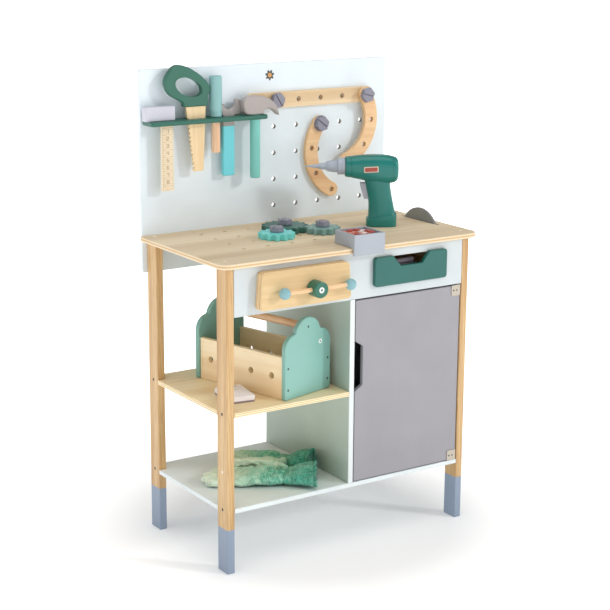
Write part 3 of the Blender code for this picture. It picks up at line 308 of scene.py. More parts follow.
def dress_frame():
    """Materials of the CAD nodes that stay as they are."""
    for k, node in enumerate(("leg_front_left", "leg_front_right", "leg_rear_left", "leg_rear_right")):
        set_look(leg_look(node + "_pine", 1.7 * k + 0.4), node)
    set_look(plywood("worktop_plywood", "X", "Z", *box_side("worktop", "Z"), 3.1, rgb(231, 213, 182),
                     rgb(222, 201, 168), rgb(205, 180, 144), period=0.022), "worktop")
    set_look(plywood("shelf_plywood", "X", "Z", *box_side("middle_shelf", "Z"), 5.3, rgb(253, 238, 200),
                     rgb(248, 228, 185), rgb(234, 204, 155), layers=5, period=0.02), "middle_shelf")
    board = paint("board_paint_and_hole_shade", rgb(225, 235, 241), 0.4, "X", 0.3)
    # The walls of the peg holes get a darker brown-grey: the bare core's colour, darkened as painted shade
    # inside the holes; the board's outer edges keep the paint.
    inside = 1.0
    for axis, margin in (("X", 0.004), ("Y", 0.0008), ("Z", 0.004)):
        lo, hi = box_side("pegboard", axis)
        along = board.axis(axis)
        within = board.math("MULTIPLY", board.step(along, lo + margin, 0.0002),
                            board.minus(board.step(along, hi - margin, 0.0002)))
        inside = board.math("MULTIPLY", within, inside)
    board.color(board.mix(inside, board.base(), rgb(146, 138, 124)))
    set_look(board, "pegboard")
    set_look(paint("apron_paint", rgb(204, 212, 215), 0.4, "X", 1.1), "front_apron")
    set_look(paint("panel_paint", rgb(216, 224, 226), 0.42, "Z", 2.3), "cabinet_side", "cabinet_back",
             "drawer_shelf")
    # The divider's sides get a darker, greener colour than the panels as painted shade of the bay; its front
    # edge keeps the pale panel colour.
    divider = paint("divider_paint_and_shade", rgb(172, 188, 178), 0.42, "Z", 2.5)
    shaded_sides = divider.step(divider.axis("Y"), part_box("divider")[0].y + 0.0012, 0.0004)
    divider.color(divider.mix(shaded_sides, rgb(222, 229, 230), divider.base()))
    set_look(divider, "divider")
    set_look(paint("bottom_paint", rgb(226, 234, 235), 0.42, "X", 2.9), "bottom_shelf")
    set_look(paint("door_paint", rgb(153, 151, 157), 0.45, "Z", 3.7), "door")
    set_look(paint("drawer_paint", rgb(26, 99, 91), 0.4, "X", 4.1), "drawer_front")
    set_look(plywood("drawer_plywood", "Y", "Z", *box_side("drawer_tray", "Z"), 6.7, rgb(238, 217, 181),
                     rgb(226, 202, 162), rgb(204, 174, 130)), "drawer_tray")
    for node in ("vise_fixed_jaw", "vise_moving_jaw"):
        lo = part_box(node)[0].y
        set_look(plywood(node + "_plywood", "X", "Y", lo, lo + JAW_THICK, 7.9, rgb(229, 202, 156),
                         rgb(220, 191, 142), rgb(200, 166, 117)), node)
    for node, tones in (("straight_bar", (rgb(238, 216, 180), rgb(230, 205, 167), rgb(210, 180, 138))),
                        ("curved_bar_left", VARNISHED_ORANGE), ("curved_bar_right", VARNISHED_ORANGE)):
        set_look(plywood(node + "_plywood", "X", "Y", *box_side(node, "Y"), 9.1, *tones), node)
    set_look(paint("rack_paint", rgb(34, 100, 84), 0.38, "X", 4.9), "tool_rack")
    bolt = paint("bolt_paint", shade(BOLT_LILAC, 0.66), 0.4, "Y", 5.7)
    set_look(bolt, "board_bolt_left", "board_bolt_middle", "board_bolt_right", "board_nut_left",
             "board_nut_middle", "board_nut_right", "gear_screw_green", "gear_screw_turquoise",
             "gear_screw_teal", "saw_axle")
    set_look(paint("trigger_paint", rgb(176, 178, 190), 0.4, "Z", 5.9), "drill_trigger")
    set_look(paint("disc_paint", rgb(140, 142, 140), 0.4, "Z", 6.1), "saw_disc")
    set_look(paint("gear_turquoise_paint", rgb(118, 216, 212), 0.4, "X", 6.5), "gear_turquoise")
    set_look(paint("gear_green_paint", rgb(52, 104, 94), 0.4, "X", 6.9), "gear_green")
    set_look(paint("gear_teal_paint", rgb(122, 160, 154), 0.4, "X", 7.3), "gear_teal")
    set_look(paint("screw_paint", rgb(42, 106, 86), 0.38, "Y", 7.7), "vise_screw")
    set_look(paint("box_paint", rgb(168, 174, 183), 0.42, "X", 8.1), "parts_box")
    set_look(paint("lilac_paint", rgb(201, 201, 213), 0.45, "X", 8.5), "square_stock")
    block = paint("block_paint", rgb(248, 245, 250), 0.5, "X", 8.7)
    layer = block.step(block.axis("Z"), BLOCK_LAYER, 0.0002)
    block.color(block.mix(layer, rgb(150, 138, 150), block.base()))
    set_look(block, "sanding_block")
    set_look(plywood("ruler_plywood", "Z", "Y", *box_side("square_blade", "Y"), 3.3, rgb(248, 240, 222),
                     rgb(243, 230, 204), rgb(224, 202, 168)), "square_blade")
    set_look(plywood("saw_plywood", "Z", "Y", *box_side("saw_blade", "Y"), 4.7, rgb(246, 222, 182),
                     rgb(238, 210, 164), rgb(216, 182, 134)), "saw_blade")
    set_look(paint("saw_paint", rgb(44, 104, 86), 0.36, "X", 8.9), "saw_handle")
    set_look(paint("driver_paint", rgb(136, 184, 184), 0.36, "Z", 9.3), "screwdriver_handle")
    set_look(pine("driver_pine", "Z", 2.2, rgb(250, 222, 190), rgb(244, 208, 174), rgb(224, 180, 142)),
             "screwdriver_shaft")
    wrench = paint("wrench_paint", rgb(108, 208, 218), 0.4, "Z", 9.7)
    wrench.color(wrench.mix(wrench.step(wrench.axis("Z"), HANDLE_TOP, 0.0004), wrench.base(), TOOL_GREY))
    set_look(wrench, "wrench")
    set_look(paint("hammer_grey", TOOL_GREY, 0.42, "X", 10.1), "hammer_head")
    set_look(paint("hammer_teal", rgb(118, 194, 184), 0.4, "Z", 10.5), "hammer_handle")
    set_look(paint("end_paint", rgb(134, 184, 174), 0.42, "Z", 10.9), "toolbox_end_front", "toolbox_end_rear")
    tray = Look("tray_wood", 0.45, Coat_Weight=0.15, Coat_Roughness=0.3)
    tone, fibres = wood_tone(tray, "Y", rgb(255, 238, 200), rgb(254, 231, 188), rgb(244, 214, 168), 2.7, 0.02,
                             (0, 0, math.radians(-TOOLBOX_TURN)), 0.5)
    tray.color(tone)
    tray.bump((fibres, 0.12, 0.0003))
    set_look(tray, "toolbox_tray")
    set_look(pine("dowel_pine", "Y", 4.4, rgb(232, 196, 156), rgb(222, 182, 140), rgb(200, 156, 114)),
             "toolbox_dowel")
    set_look(metal("hinge_steel", rgb(190, 182, 168), 0.4), "door_hinge_top", "door_hinge_bottom")


# ---- small geometry kit ------------------------------------------------------------------------
THIN = 0.02                     # radius that stands for a point on the axis


def piece(name, bm, look, body, frame, smooth=True):
    """A mesh piece in the row frame that rides on a CAD body."""
    bmesh.ops.recalc_face_normals(bm, faces=bm.faces)
    bm.transform(frame)
    mesh = bpy.data.meshes.new(name)
    bm.to_mesh(mesh)
    bm.free()
    mesh.materials.append(look.material)
    mesh.polygons.foreach_set("use_smooth", [smooth] * len(mesh.polygons))
    thing = bpy.data.objects.new(name, mesh)
    bpy.context.scene.collection.objects.link(thing)
    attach(thing, body)
    return thing


def soften(thing, angle=35.0):
    """Smooth shading that keeps corners sharper than the angle."""
    mesh = thing.data
    bm = bmesh.new()
    bm.from_mesh(mesh)
    limit = math.radians(angle)
    for edge in bm.edges:
        edge.smooth = edge.is_manifold and edge.calc_face_angle(0.0) < limit
    bm.to_mesh(mesh)
    bm.free()
    return thing


def skin(bm, rings):
    """Joins rings of points into a closed tube with flat ends."""
    rows = [[bm.verts.new(p) for p in ring] for ring in rings]
    count = len(rows[0])
    for a, b in zip(rows, rows[1:]):
        for k in range(count):
            bm.faces.new((a[k], a[(k + 1) % count], b[(k + 1) % count], b[k]))
    bm.faces.new(rows[0])
    bm.faces.new(list(reversed(rows[-1])))


def circle(frame, radius, z, sides):
    """A ring of points round the frame's Z axis at the height z."""
    return [frame @ Vector((radius * math.cos(TAU * k / sides), radius * math.sin(TAU * k / sides), z))
            for k in range(sides)]


def facing(spot, axis):
    """A frame at the spot whose Z points along the axis."""
    return Matrix.Translation(spot) @ Vector(axis).to_track_quat("Z", "Y").to_matrix().to_4x4()


def turned(bm, profile, base, axis, sides):
    """A turned piece: profile is (radius, distance along the axis), and its ends close on the axis."""
    frame = facing(base, axis)
    skin(bm, [circle(frame, max(radius, THIN), along, sides) for radius, along in profile])


def brick(bm, lo, hi, frame=FLAT):
    """A box between two corners."""
    (x0, y0, z0), (x1, y1, z1) = lo, hi
    corners = ((x0, y0), (x1, y0), (x1, y1), (x0, y1))
    skin(bm, [[frame @ Vector((x, y, z)) for x, y in corners] for z in (z0, z1)])


def spline(rows, between):
    """Catmull-Rom rows between rows of numbers; the first and last stay."""
    out = []
    for k in range(len(rows) - 1):
        a, b, c, d = rows[max(k - 1, 0)], rows[k], rows[k + 1], rows[min(k + 2, len(rows) - 1)]
        for step in range(between):
            t = step / between
            out.append([0.5 * (2 * q + (r - p) * t + (2 * p - 5 * q + 4 * r - s) * t ** 2
                               + (3 * q - p - 3 * r + s) * t ** 3) for p, q, r, s in zip(a, b, c, d)])
    out.append(list(rows[-1]))
    return out


def oval(center, u, v, power, sides):
    """A superellipse ring: power 2 is round, higher is squarer."""
    ring = []
    for k in range(sides):
        c, s = math.cos(TAU * k / sides), math.sin(TAU * k / sides)
        ring.append(Vector(center) + Vector(u) * math.copysign(abs(c) ** (2 / power), c)
                    + Vector(v) * math.copysign(abs(s) ** (2 / power), s))
    return ring


def swap_mesh(thing, kind, **settings):
    """Applies one modifier to a piece and returns the mesh that comes out."""
    modifier = thing.modifiers.new("shape", kind)
    for key, value in settings.items():
        setattr(modifier, key, value)
    bpy.context.view_layer.update()
    solid = bpy.data.meshes.new_from_object(thing.evaluated_get(bpy.context.evaluated_depsgraph_get()))
    thing.modifiers.clear()
    return solid


def rounded_slab(outline, y0, y1, edge, steps):
    """A slab across Y with evenly rounded rims, from an outline of (x, z)."""
    bm = bmesh.new()
    count = len(outline)
    points = [Vector(p) for p in outline]
    normals = []
    for k in range(count):
        along = (points[(k + 1) % count] - points[k - 1]).normalized()
        normals.append(Vector((along.y, -along.x)))
    area = sum(points[k - 1].cross(points[k]) for k in range(count))
    if area < 0:
        normals = [-n for n in normals]
    rings = []
    for start, way in ((y0, 1), (y1, -1)):
        half = []
        for k in range(steps + 1):
            a = math.pi / 2 * k / steps
            inward, y = edge * (1 - math.sin(a)), start + way * edge * (1 - math.cos(a))
            half.append([(p.x - n.x * inward, y, p.y - n.y * inward) for p, n in zip(points, normals)])
        rings += half if way > 0 else reversed(half)
    skin(bm, rings)
    return bm


# ---- turned and shaped pieces that stand for coarser CAD nodes ------------------------------------
# Rows of the housing: distance along the drill, lower edge, upper edge, half width, squareness.
DRILL_BODY = ((-76.0, 101.5, 138.0, 18.0, 2.4), (-74.5, 100.0, 139.5, 19.5, 2.6),
              (-66.5, 98.8, 140.8, 20.4, 2.6), (-65.8, 99.8, 139.8, 19.4, 2.6),
              (-64.2, 99.7, 140.0, 19.4, 2.6), (-63.4, 98.3, 141.2, 20.7, 2.6),
              (-45.0, 94.5, 143.0, 22.0, 2.8), (-20.0, 89.5, 144.3, 23.5, 3.0),
              (5.0, 87.0, 143.3, 23.5, 3.0), (18.0, 87.8, 141.0, 23.0, 2.8),
              (18.8, 88.9, 140.0, 22.2, 2.8), (20.0, 88.9, 139.7, 22.2, 2.8),
              (20.8, 88.1, 140.2, 22.9, 2.8), (27.5, 91.5, 137.5, 21.0, 2.6),
              (30.0, 96.0, 133.0, 17.5, 2.4))
# Rows of the grip: height, rear edge, front edge, half width, squareness, slant.
DRILL_GRIP = ((0.0, 26.5, -30.0, 19.0, 3.6, 0.0), (2.0, 28.5, -32.0, 20.5, 3.6, 0.0),
              (19.4, 28.5, -32.0, 20.5, 3.4, 5.0), (21.4, 27.4, -30.6, 19.4, 3.2, 5.0),
              (23.0, 26.0, -28.5, 18.0, 3.0, 4.5), (48.0, 21.5, -28.0, 16.5, 2.8, 0.0),
              (78.0, 16.0, -33.5, 17.0, 2.8, 0.0), (102.0, 15.0, -38.0, 18.0, 2.8, 0.0))
# Radius and distance from the housing, from the sleeve to the tip of the bit.
CHUCK = ((0, 0.0), (16.2, 0.0), (16.9, 0.8), (16.9, 6.2), (16.3, 6.6), (16.3, 7.4), (16.9, 7.8),
         (16.9, 13.5), (16.0, 15.0), (12.8, 15.6), (12.4, 17.0), (12.2, 22.0), (10.2, 35.5), (9.0, 37.0),
         (7.3, 37.5), (7.1, 43.0), (6.5, 43.6), (6.3, 49.0), (5.5, 49.6), (5.3, 53.0), (4.5, 53.6),
         (1.0, 78.5), (0, 79.5))
CHUCK_AT = (-76.3, 0, 121.0)
BADGE_AT = (-25.5, 0, 117.0)
BADGE_TILT = math.radians(-3)
BADGE_CORNER = 1.5


def make_drill():
    """Housing and grip with a pocket for the trigger, the label's plain patch, the chuck and the bit."""
    look = Look("drill_plastic", 0.3, Coat_Weight=0.1)
    spot = look.coords()
    green = rgb(10, 118, 110)
    look.color(look.ramp(look.noise(spot, 14.0, 3.0), [(0.3, shade(green, 0.92)), (0.7, shade(green, 1.05))]))
    look.rough(look.noise(spot, 40.0, 2.0), 0.26, 0.38)
    look.bump((look.noise(spot, 1400.0, 1.0), 0.08, 0.0002))
    bm = bmesh.new()
    rings = []
    for x, low, high, half, power in spline(DRILL_BODY, 3):
        rings.append(oval((x, 0, (low + high) / 2), (0, half, 0), (0, 0, (high - low) / 2), power, 56))
    skin(bm, rings)
    drill = piece("drill_shell", bm, look, "drill", DRILL)
    bm = bmesh.new()
    rings = []
    for z, back, front, half, power, slant in spline(DRILL_GRIP, 3):
        middle, reach = (back + front) / 2, (back - front) / 2
        rings.append(oval((middle, 0, z), (reach, 0, slant), (0, half, 0), power, 48))
    skin(bm, rings)
    grip = piece("drill_grip", bm, look, "drill", DRILL)
    bm = bmesh.new()
    brick(bm, (-56.0, -5.6, 54.2), (-21.5, 5.6, 88.8))
    cutter = piece("trigger_pocket", bm, look, "drill", DRILL)
    for target in (grip, drill):
        target.data = swap_mesh(target, "BOOLEAN", object=cutter, operation="DIFFERENCE")
    bpy.data.objects.remove(cutter)
    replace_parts(drill, "drill_body")
    soften(drill, 40)
    soften(grip, 40)
    badge = paint("badge_paint", rgb(168, 74, 60), 0.35, "X", 1.3)
    rim = paint("badge_rim_paint", rgb(214, 196, 176), 0.35, "X", 1.5)
    tilt = Matrix.Translation(BADGE_AT) @ Matrix.Rotation(BADGE_TILT, 4, "Y")
    for name, half_x, half_z, depth, coat in (("badge_rim", 14.5, 5.8, 24.1, rim),
                                              ("badge", 12.6, 4.1, 24.5, badge)):
        corners = [(sx * (half_x - BADGE_CORNER) + BADGE_CORNER * math.cos(a),
                    sz * (half_z - BADGE_CORNER) + BADGE_CORNER * math.sin(a))
                   for sx, sz, first in ((1, 1, 0), (-1, 1, 1), (-1, -1, 2), (1, -1, 3))
                   for a in (math.pi / 2 * (first + k / 3) for k in range(4))]
        piece(name, rounded_slab(corners, -depth, -22.5, 0.25, 2), coat, "drill", DRILL @ tilt)
    chuck = bmesh.new()
    turned(chuck, CHUCK, CHUCK_AT, (-1, 0, 0), 56)
    coat = paint("chuck_paint", rgb(168, 176, 188), 0.38, "X", 11.7)
    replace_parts(soften(piece("chuck", chuck, coat, "drill_chuck", DRILL)), "drill_chuck")


def make_vise_handle():
    """The rod that slides through the vise's hub, with a ball at each end."""
    rod_look = pine("rod_wood", "X", 1.9, rgb(246, 210, 168), rgb(238, 196, 150), rgb(216, 170, 122))
    ball_look = paint("ball_paint", rgb(132, 177, 184), 0.36, "X", 3.3)
    middle, along = (-104.5, -36.0, 538.5), (1, 0, 0)
    reach, ball_r, rod_r = 73.0, 11.0, 4.2
    bm = bmesh.new()
    turned(bm, ((0, -reach), (rod_r, -reach), (rod_r, reach), (0, reach)), middle, along, 32)
    rod = soften(piece("vise_rod", bm, rod_look, "vise_handle", BENCH))
    bm = bmesh.new()
    for side in (-1, 1):
        arc = [(ball_r * math.sin(math.pi * k / 20), side * reach - ball_r * math.cos(math.pi * k / 20))
               for k in range(21)]
        turned(bm, arc, middle, along, 40)
    piece("vise_balls", bm, ball_look, "vise_handle", BENCH)
    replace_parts(rod, "vise_handle")


LEG_OUTSIDE, LEG_MIDDLE = 280.0, 272.0


def make_screws():
    """Countersunk screws, cover caps and a plug on the frame, door plates and tool box."""
    steel = metal("screw_steel", rgb(96, 90, 86), 0.42)
    plug = paint("plug_paint", rgb(238, 226, 210), 0.4, "X", 2.1)
    # Near-black for the screws' cross recesses: painted shade of the recess.
    dark = paint("recess_painted_shade", rgb(40, 36, 34), 0.6, "X", 2.2)
    green = metal("coated_screw", rgb(110, 132, 124), 0.5)

    def screw(name, body, spot, axis, frame, radius=3.0, look=steel, recess=True):
        bm = bmesh.new()
        profile = ((0, -0.4), (radius, -0.4), (radius, 0.15), (radius * 0.82, 0.4), (0, 0.4))
        turned(bm, profile, spot, axis, 24)
        soften(piece(name, bm, look, body, frame))
        if recess:
            # A near-black cross raised on the head stands for the cross recess: painted shade of the recess.
            bm = bmesh.new()
            turn = facing(spot, axis)
            for w, h in ((0.35, 0.62), (0.62, 0.35)):
                x, y = radius * (w - 0.2), radius * (h - 0.2)
                brick(bm, (-x, -y, 0.2), (x, y, 0.46), turn)
            piece(name + "_cross", bm, dark, body, frame, False)

    for side, tag in ((-1, "left"), (1, "right")):
        for y, where, heights in ((18.0, "front", (125.0, 199.0, 312.0)), (284.0, "rear", (126.5, 312.5))):
            for k, z in enumerate(heights):
                is_plug = where == "front" and k == 1
                screw(f"leg_screw_{where}_{tag}_{k}", "bench", (side * LEG_OUTSIDE, y, z),
                      (side, 0, 0), BENCH, look=plug if is_plug else steel, recess=not is_plug)
            screw(f"worktop_cap_{where}_{tag}", "bench", (side * LEG_MIDDLE, y, TOP_Z), (0, 0, 1),
                  BENCH, 3.6, plug, False)
    for z, tag in ((485.0, "top"), (139.0, "bottom")):
        for x in (244.0, 252.0):
            screw(f"hinge_screw_{tag}_{x:.0f}", "door", (x, -1.2, z), (0, -1, 0), BENCH, 1.7)
    for k, (x, z) in enumerate(((-56.5, 20.0), (-56.5, 62.0), (56.5, 20.0), (56.5, 62.0), (0.0, 134.0))):
        for y, tag in ((-120.0, "front"), (120.0, "rear")):
            outward = (0, math.copysign(1, y), 0)
            screw(f"toolbox_screw_{tag}_{k}", "toolbox", (x, y, z), outward, TOOLBOX, 2.6,
                  green)


def make_stickers():
    """Plain round white stickers with a grey dot: on the vise screw's end and on the tool box's end."""
    white = paint("sticker_white", rgb(238, 240, 236), 0.4, "X", 12.1)
    dot = paint("sticker_dot", rgb(96, 128, 118), 0.5, "X", 12.4)
    lo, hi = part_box("vise_screw")
    hub = Vector(((lo.x + hi.x) / 2, lo.y - FRONT_Y, (lo.z + hi.z) / 2)) / MM
    for name, spot, frame, body, slot, size in (
            ("hub_sticker", hub, BENCH, "vise_screw", "dark_green_paint", 5.6),
            ("toolbox_sticker", Vector((35.0, -120.0, 99.0)), TOOLBOX, "toolbox", "mint_paint", 4.4)):
        bm = bmesh.new()
        turned(bm, ((0, -0.3), (size, -0.3), (size, 0.1), (0, 0.1)), spot, (0, -1, 0), 32)
        soften(piece(name, bm, white, body, frame))
        bm = bmesh.new()
        turned(bm, ((0, 0), (size * 0.45, 0), (size * 0.45, 0.2), (0, 0.2)), spot, (0, -1, 0), 24)
        soften(piece(name + "_dot", bm, dot, body, frame))


def make_clamp_bar():
    """The dark bar in the loose block's slot."""
    bm = bmesh.new()
    brick(bm, (-14.5, 27.6, 3.0), (14.5, 30.4, 12.0), BLOCK)
    piece("block_clamp_bar", bm, paint("clamp_dark", rgb(52, 46, 48), 0.5, "X", 12.8), "sanding_block",
          FLAT, False)


# Strokes of a digit in a box of 1 by 1, and the strokes of each digit.
SEGMENTS = {"top": (0, 1, 1, 1), "middle": (0, 0.5, 1, 0.5), "bottom": (0, 0, 1, 0),
            "upper_left": (0, 0.5, 0, 1), "upper_right": (1, 0.5, 1, 1),
            "lower_left": (0, 0, 0, 0.5), "lower_right": (1, 0, 1, 0.5)}
DIGITS = {1: "upper_right lower_right",
          2: "top upper_right middle lower_left bottom",
          3: "top upper_right middle lower_right bottom",
          4: "upper_left upper_right middle lower_right",
          5: "top upper_left middle lower_right bottom",
          6: "top upper_left middle lower_left lower_right bottom",
          7: "top upper_right lower_right",
          8: "top middle bottom upper_left upper_right lower_left lower_right"}


def make_ruler_marks():
    """Ticks on both edges of the try square's blade and a column of numbers."""
    ink = paint("ruler_ink", rgb(166, 138, 108), 0.6, "Z", 2.6)
    left, right, top, face = -257.0, -230.5, 812.0, 278.1
    front, back, inset, half_tick = face - 0.12, face + 0.3, 0.9, 0.35
    ticks, pitch, spacing = 35, 3.5, 4
    bm = bmesh.new()
    for k in range(ticks):
        z = top - 2.0 - pitch * k
        reach = 6.5 if k % spacing == 0 else 3.6
        for x0, x1 in ((left + inset, left + inset + reach), (right - inset - reach, right - inset)):
            brick(bm, (x0, front, z - half_tick), (x1, back, z + half_tick))
    wide, tall, stroke, first_down = 4.0, 6.4, 0.42, 12.2
    for k in range(len(DIGITS)):
        z = top - first_down - pitch * spacing * k
        x = (left + right) / 2 - wide / 2
        for segment in DIGITS[k + 1].split():
            u0, v0, u1, v1 = SEGMENTS[segment]
            brick(bm, (x + u0 * wide - stroke, front, z + v0 * tall - stroke),
                  (x + u1 * wide + stroke, back, z + v1 * tall + stroke))
    piece("ruler_marks", bm, ink, "try_square", BENCH, False)


def make_emblem():
    """A small plain emblem in the top middle of the pegboard: a toothed disc with a dot."""
    dark = paint("emblem_dark", rgb(70, 76, 70), 0.5, "X", 3.6)
    warm = paint("emblem_warm", rgb(206, 150, 92), 0.5, "X", 3.9)
    x, z, face = 2.7, 896.5, 302.0
    for name, outer, inner, teeth, look, depth in (("emblem_wheel", 10.5, 7.6, 7, dark, 0.25),
                                                   ("emblem_dot", 4.6, 4.6, 12, warm, 0.45)):
        outline = [(x + r * math.cos(TAU * (k + d) / teeth), z + r * math.sin(TAU * (k + d) / teeth))
                   for k in range(teeth)
                   for d, r in ((0.05, outer), (0.45, outer), (0.55, inner), (0.95, inner))]
        slab = rounded_slab(outline, face - depth, face + 0.3, 0.1, 1)
        piece(name, slab, look, "bench", BENCH, False)


HEAD_R, SHAFT_R, NECK = 6.2, 3.6, 12.5
BOX_PITCH, BOX_START = 14.2, (-21.3, 7.5)
THREAD_TURNS, THREAD_RISE = 15, 2.3


def hex_peg(bm, spot, tilt, top):
    """A peg that stands on its shaft, with a six-sided head that ends at the height top."""
    frame = Matrix.Translation(spot) @ Euler(tilt).to_matrix().to_4x4()
    head = ((HEAD_R - 0.6, top), (HEAD_R, top - 0.6), (HEAD_R, NECK + 0.5), (HEAD_R - 0.5, NECK))
    shaft = ((SHAFT_R - 0.6, 0.0), (SHAFT_R, 0.6), (SHAFT_R, NECK + 0.3))
    for bands, sides in ((head, 6), (shaft, 16)):
        skin(bm, [circle(frame, r, z, sides) for r, z in bands])


def make_pegs():
    """Loose pegs in the parts box and in the drawer."""
    dice = random.Random(12)
    colors = (("red", rgb(192, 84, 74)), ("coral", rgb(214, 124, 104)), ("cream", rgb(236, 216, 206)))
    meshes = {name: bmesh.new() for name, _ in colors}
    order = ("red coral red cream coral red cream red "
             "red coral cream red coral red red cream").split()
    for k, name in enumerate(order):
        x, y = BOX_START[0] + BOX_PITCH * (k % 4), BOX_START[1] + BOX_PITCH * (k // 4)
        tilt = (dice.uniform(-0.1, 0.1), dice.uniform(-0.1, 0.1), dice.uniform(0, 1))
        spot = (x + dice.uniform(-0.4, 0.4), y + dice.uniform(-0.4, 0.4), 5.0)
        hex_peg(meshes[name], spot, tilt, 19.0 + dice.uniform(-1.5, 1.5))
    for name, color in colors:
        coat = paint(name + "_peg_paint", color, 0.4, "Z", 4.2)
        soften(piece("pegs_" + name, meshes[name], coat, "parts_box", PARTS), 25)
    looks = (paint("drawer_peg_grey", rgb(176, 164, 156), 0.45, "X", 4.6),
             paint("drawer_peg_lilac", rgb(190, 180, 190), 0.45, "X", 4.8))
    spots = ((20.0, 531.7), (32.2, 531.7), (44.4, 531.7), (26.1, 542.1), (38.3, 542.1), (30.5, 552.6))
    for k, (y, z) in enumerate(spots):
        bm = bmesh.new()
        profile = [(0, 0), (4.4, 0), (5.0, 0.7)]
        for turn in range(THREAD_TURNS):
            profile += [(5.6, 1.2 + THREAD_RISE * turn), (4.7, 2.4 + THREAD_RISE * turn)]
        profile += [(5.6, 36.2), (5.6, 43.0), (4.9, 43.8), (0, 43.8)]
        turned(bm, profile, (114.0 + 6.0 * (k % 2), y, z), (1, 0, 0), 24)
        soften(piece(f"drawer_peg_{k}", bm, looks[k % 2], "drawer", BENCH))


# ---- gloves -------------------------------------------------------------------------------------
def knit(name, turn, start, stop):
    """Marled knit: pale at the fingertips, green towards the cuff, with courses and wales in relief."""
    look = Look(name, 0.92, Sheen_Weight=0.35, Sheen_Roughness=0.5)
    spin = (0, 0, -turn)
    along = look.add("SeparateXYZ", {0: look.coords(turn=spin)}, "X")
    fade = look.add("MapRange", {0: along, 1: start, 2: stop})
    wobble = look.noise(look.coords(), 26.0, 3.0)
    fade = look.math("ADD", fade, look.math("MULTIPLY", look.math("SUBTRACT", wobble, 0.5), 0.5))
    base = look.ramp(fade, [(0.0, rgb(240, 254, 232)), (0.45, rgb(204, 246, 220)), (0.62, rgb(92, 200, 170)),
                            (0.95, rgb(40, 164, 136))])
    bend = look.add("VectorMath", {0: look.coords((1, 0.12, 0.3), spin),
                                   1: look.math("MULTIPLY", look.noise(look.coords(), 14.0, 2.0), 0.03)})
    streaks = look.noise(bend, 300.0, 2.0, 0.7)
    flecks = look.noise(look.coords((0.12, 1, 0.3), spin, (0.2, 0.1, 0)), 230.0, 3.0, 0.7)
    pale = look.math("MULTIPLY", look.ramp(streaks, [(0.46, 0.0), (0.57, 0.9)]),
                     look.ramp(fade, [(0.3, 1.0), (1.0, 0.4)]))
    deep = look.math("MULTIPLY", look.ramp(flecks, [(0.5, 0.0), (0.6, 0.85)]),
                     look.ramp(fade, [(0.0, 0.3), (0.8, 1.0)]))
    tone = look.mix(deep, base, look.mix(fade, rgb(158, 222, 188), rgb(12, 110, 94)))
    look.color(look.mix(pale, tone, look.mix(fade, rgb(250, 255, 232), rgb(150, 226, 200))))
    courses = look.wave(look.coords(turn=spin), 145.0, 1.2, 1.0, 6.0, "X")
    wales = look.wave(look.coords(turn=spin), 125.0, 0.8, 1.0, 6.0, "Y")
    look.bump((look.math("MULTIPLY", courses, wales), 0.9, 0.0012), (streaks, 0.35, 0.0008))
    return look


def finger(bm, path, sides=20):
    """A stuffed finger: path rows are (x, y, z, half width, half height); the ends are rounded off."""
    rows = spline(path, 5)
    rings = []
    for k, (x, y, z, wide, high) in enumerate(rows):
        a, b = rows[max(k - 1, 0)], rows[min(k + 1, len(rows) - 1)]
        along = Vector((b[0] - a[0], b[1] - a[1], b[2] - a[2])).normalized()
        across = Vector((-along.y, along.x, 0)).normalized()
        rings.append(oval((x, y, z), across * wide, along.cross(across) * high, 2.3, sides))
    skin(bm, rings)


def relax(bm, factor):
    """Moves every point some way towards its neighbours' middle."""
    bmesh.ops.smooth_vert(bm, verts=bm.verts, factor=factor,
                          use_axis_x=True, use_axis_y=True, use_axis_z=True)


VOXEL = 2.2
CREASE_DEPTH, CREASE_WIDTH = 4.4, 0.14
RIBS, RIB_START, HAND_MIDDLE = 28, 6, 14


def knit_form(name, bm, frame, body, wrist, seed, look):
    """Joins lofted pieces into one form and gives it soft folds, creases and, past the wrist, cuff ribs."""
    shape = piece(name, bm, look, body, FLAT)
    bm = bmesh.new()
    bm.from_mesh(swap_mesh(shape, "REMESH", mode="VOXEL", voxel_size=VOXEL))
    for _ in range(3):
        relax(bm, 0.5)
    bm.normal_update()
    moved = []
    for v in bm.verts:
        p = v.co
        fold = noise.noise(Vector((p.x * 0.05 + seed, p.y * 0.075, p.z * 0.05)))
        crease = abs(noise.noise(Vector((p.x * 0.028 + p.y * 0.03, p.y * 0.06 - p.x * 0.012 + seed, 1.7))))
        fine = noise.noise(Vector((p.x * 0.16, p.y * 0.16 + seed, p.z * 0.16)))
        push = 3.4 * fold - CREASE_DEPTH * max(0.0, CREASE_WIDTH - crease) / CREASE_WIDTH + 0.9 * fine
        if p.x > wrist:
            edge = min(1.0, (p.x - wrist) / RIB_START)
            around = math.atan2(p.z - HAND_MIDDLE, p.y)
            push = push * (1 - 0.7 * edge) + edge * math.cos(RIBS * around)
        moved.append(p + v.normal * push)
    for v, p in zip(bm.verts, moved):
        v.co = p
        v.co.z = max(0.0, v.co.z)
    relax(bm, 0.25)
    bm.transform(frame)
    bm.to_mesh(shape.data)
    bm.free()
    shape.data.materials.clear()
    shape.data.materials.append(look.material)
    shape.data.polygons.foreach_set("use_smooth", [True] * len(shape.data.polygons))
    return shape


THREADS = 170                   # loose ends round a frayed cuff


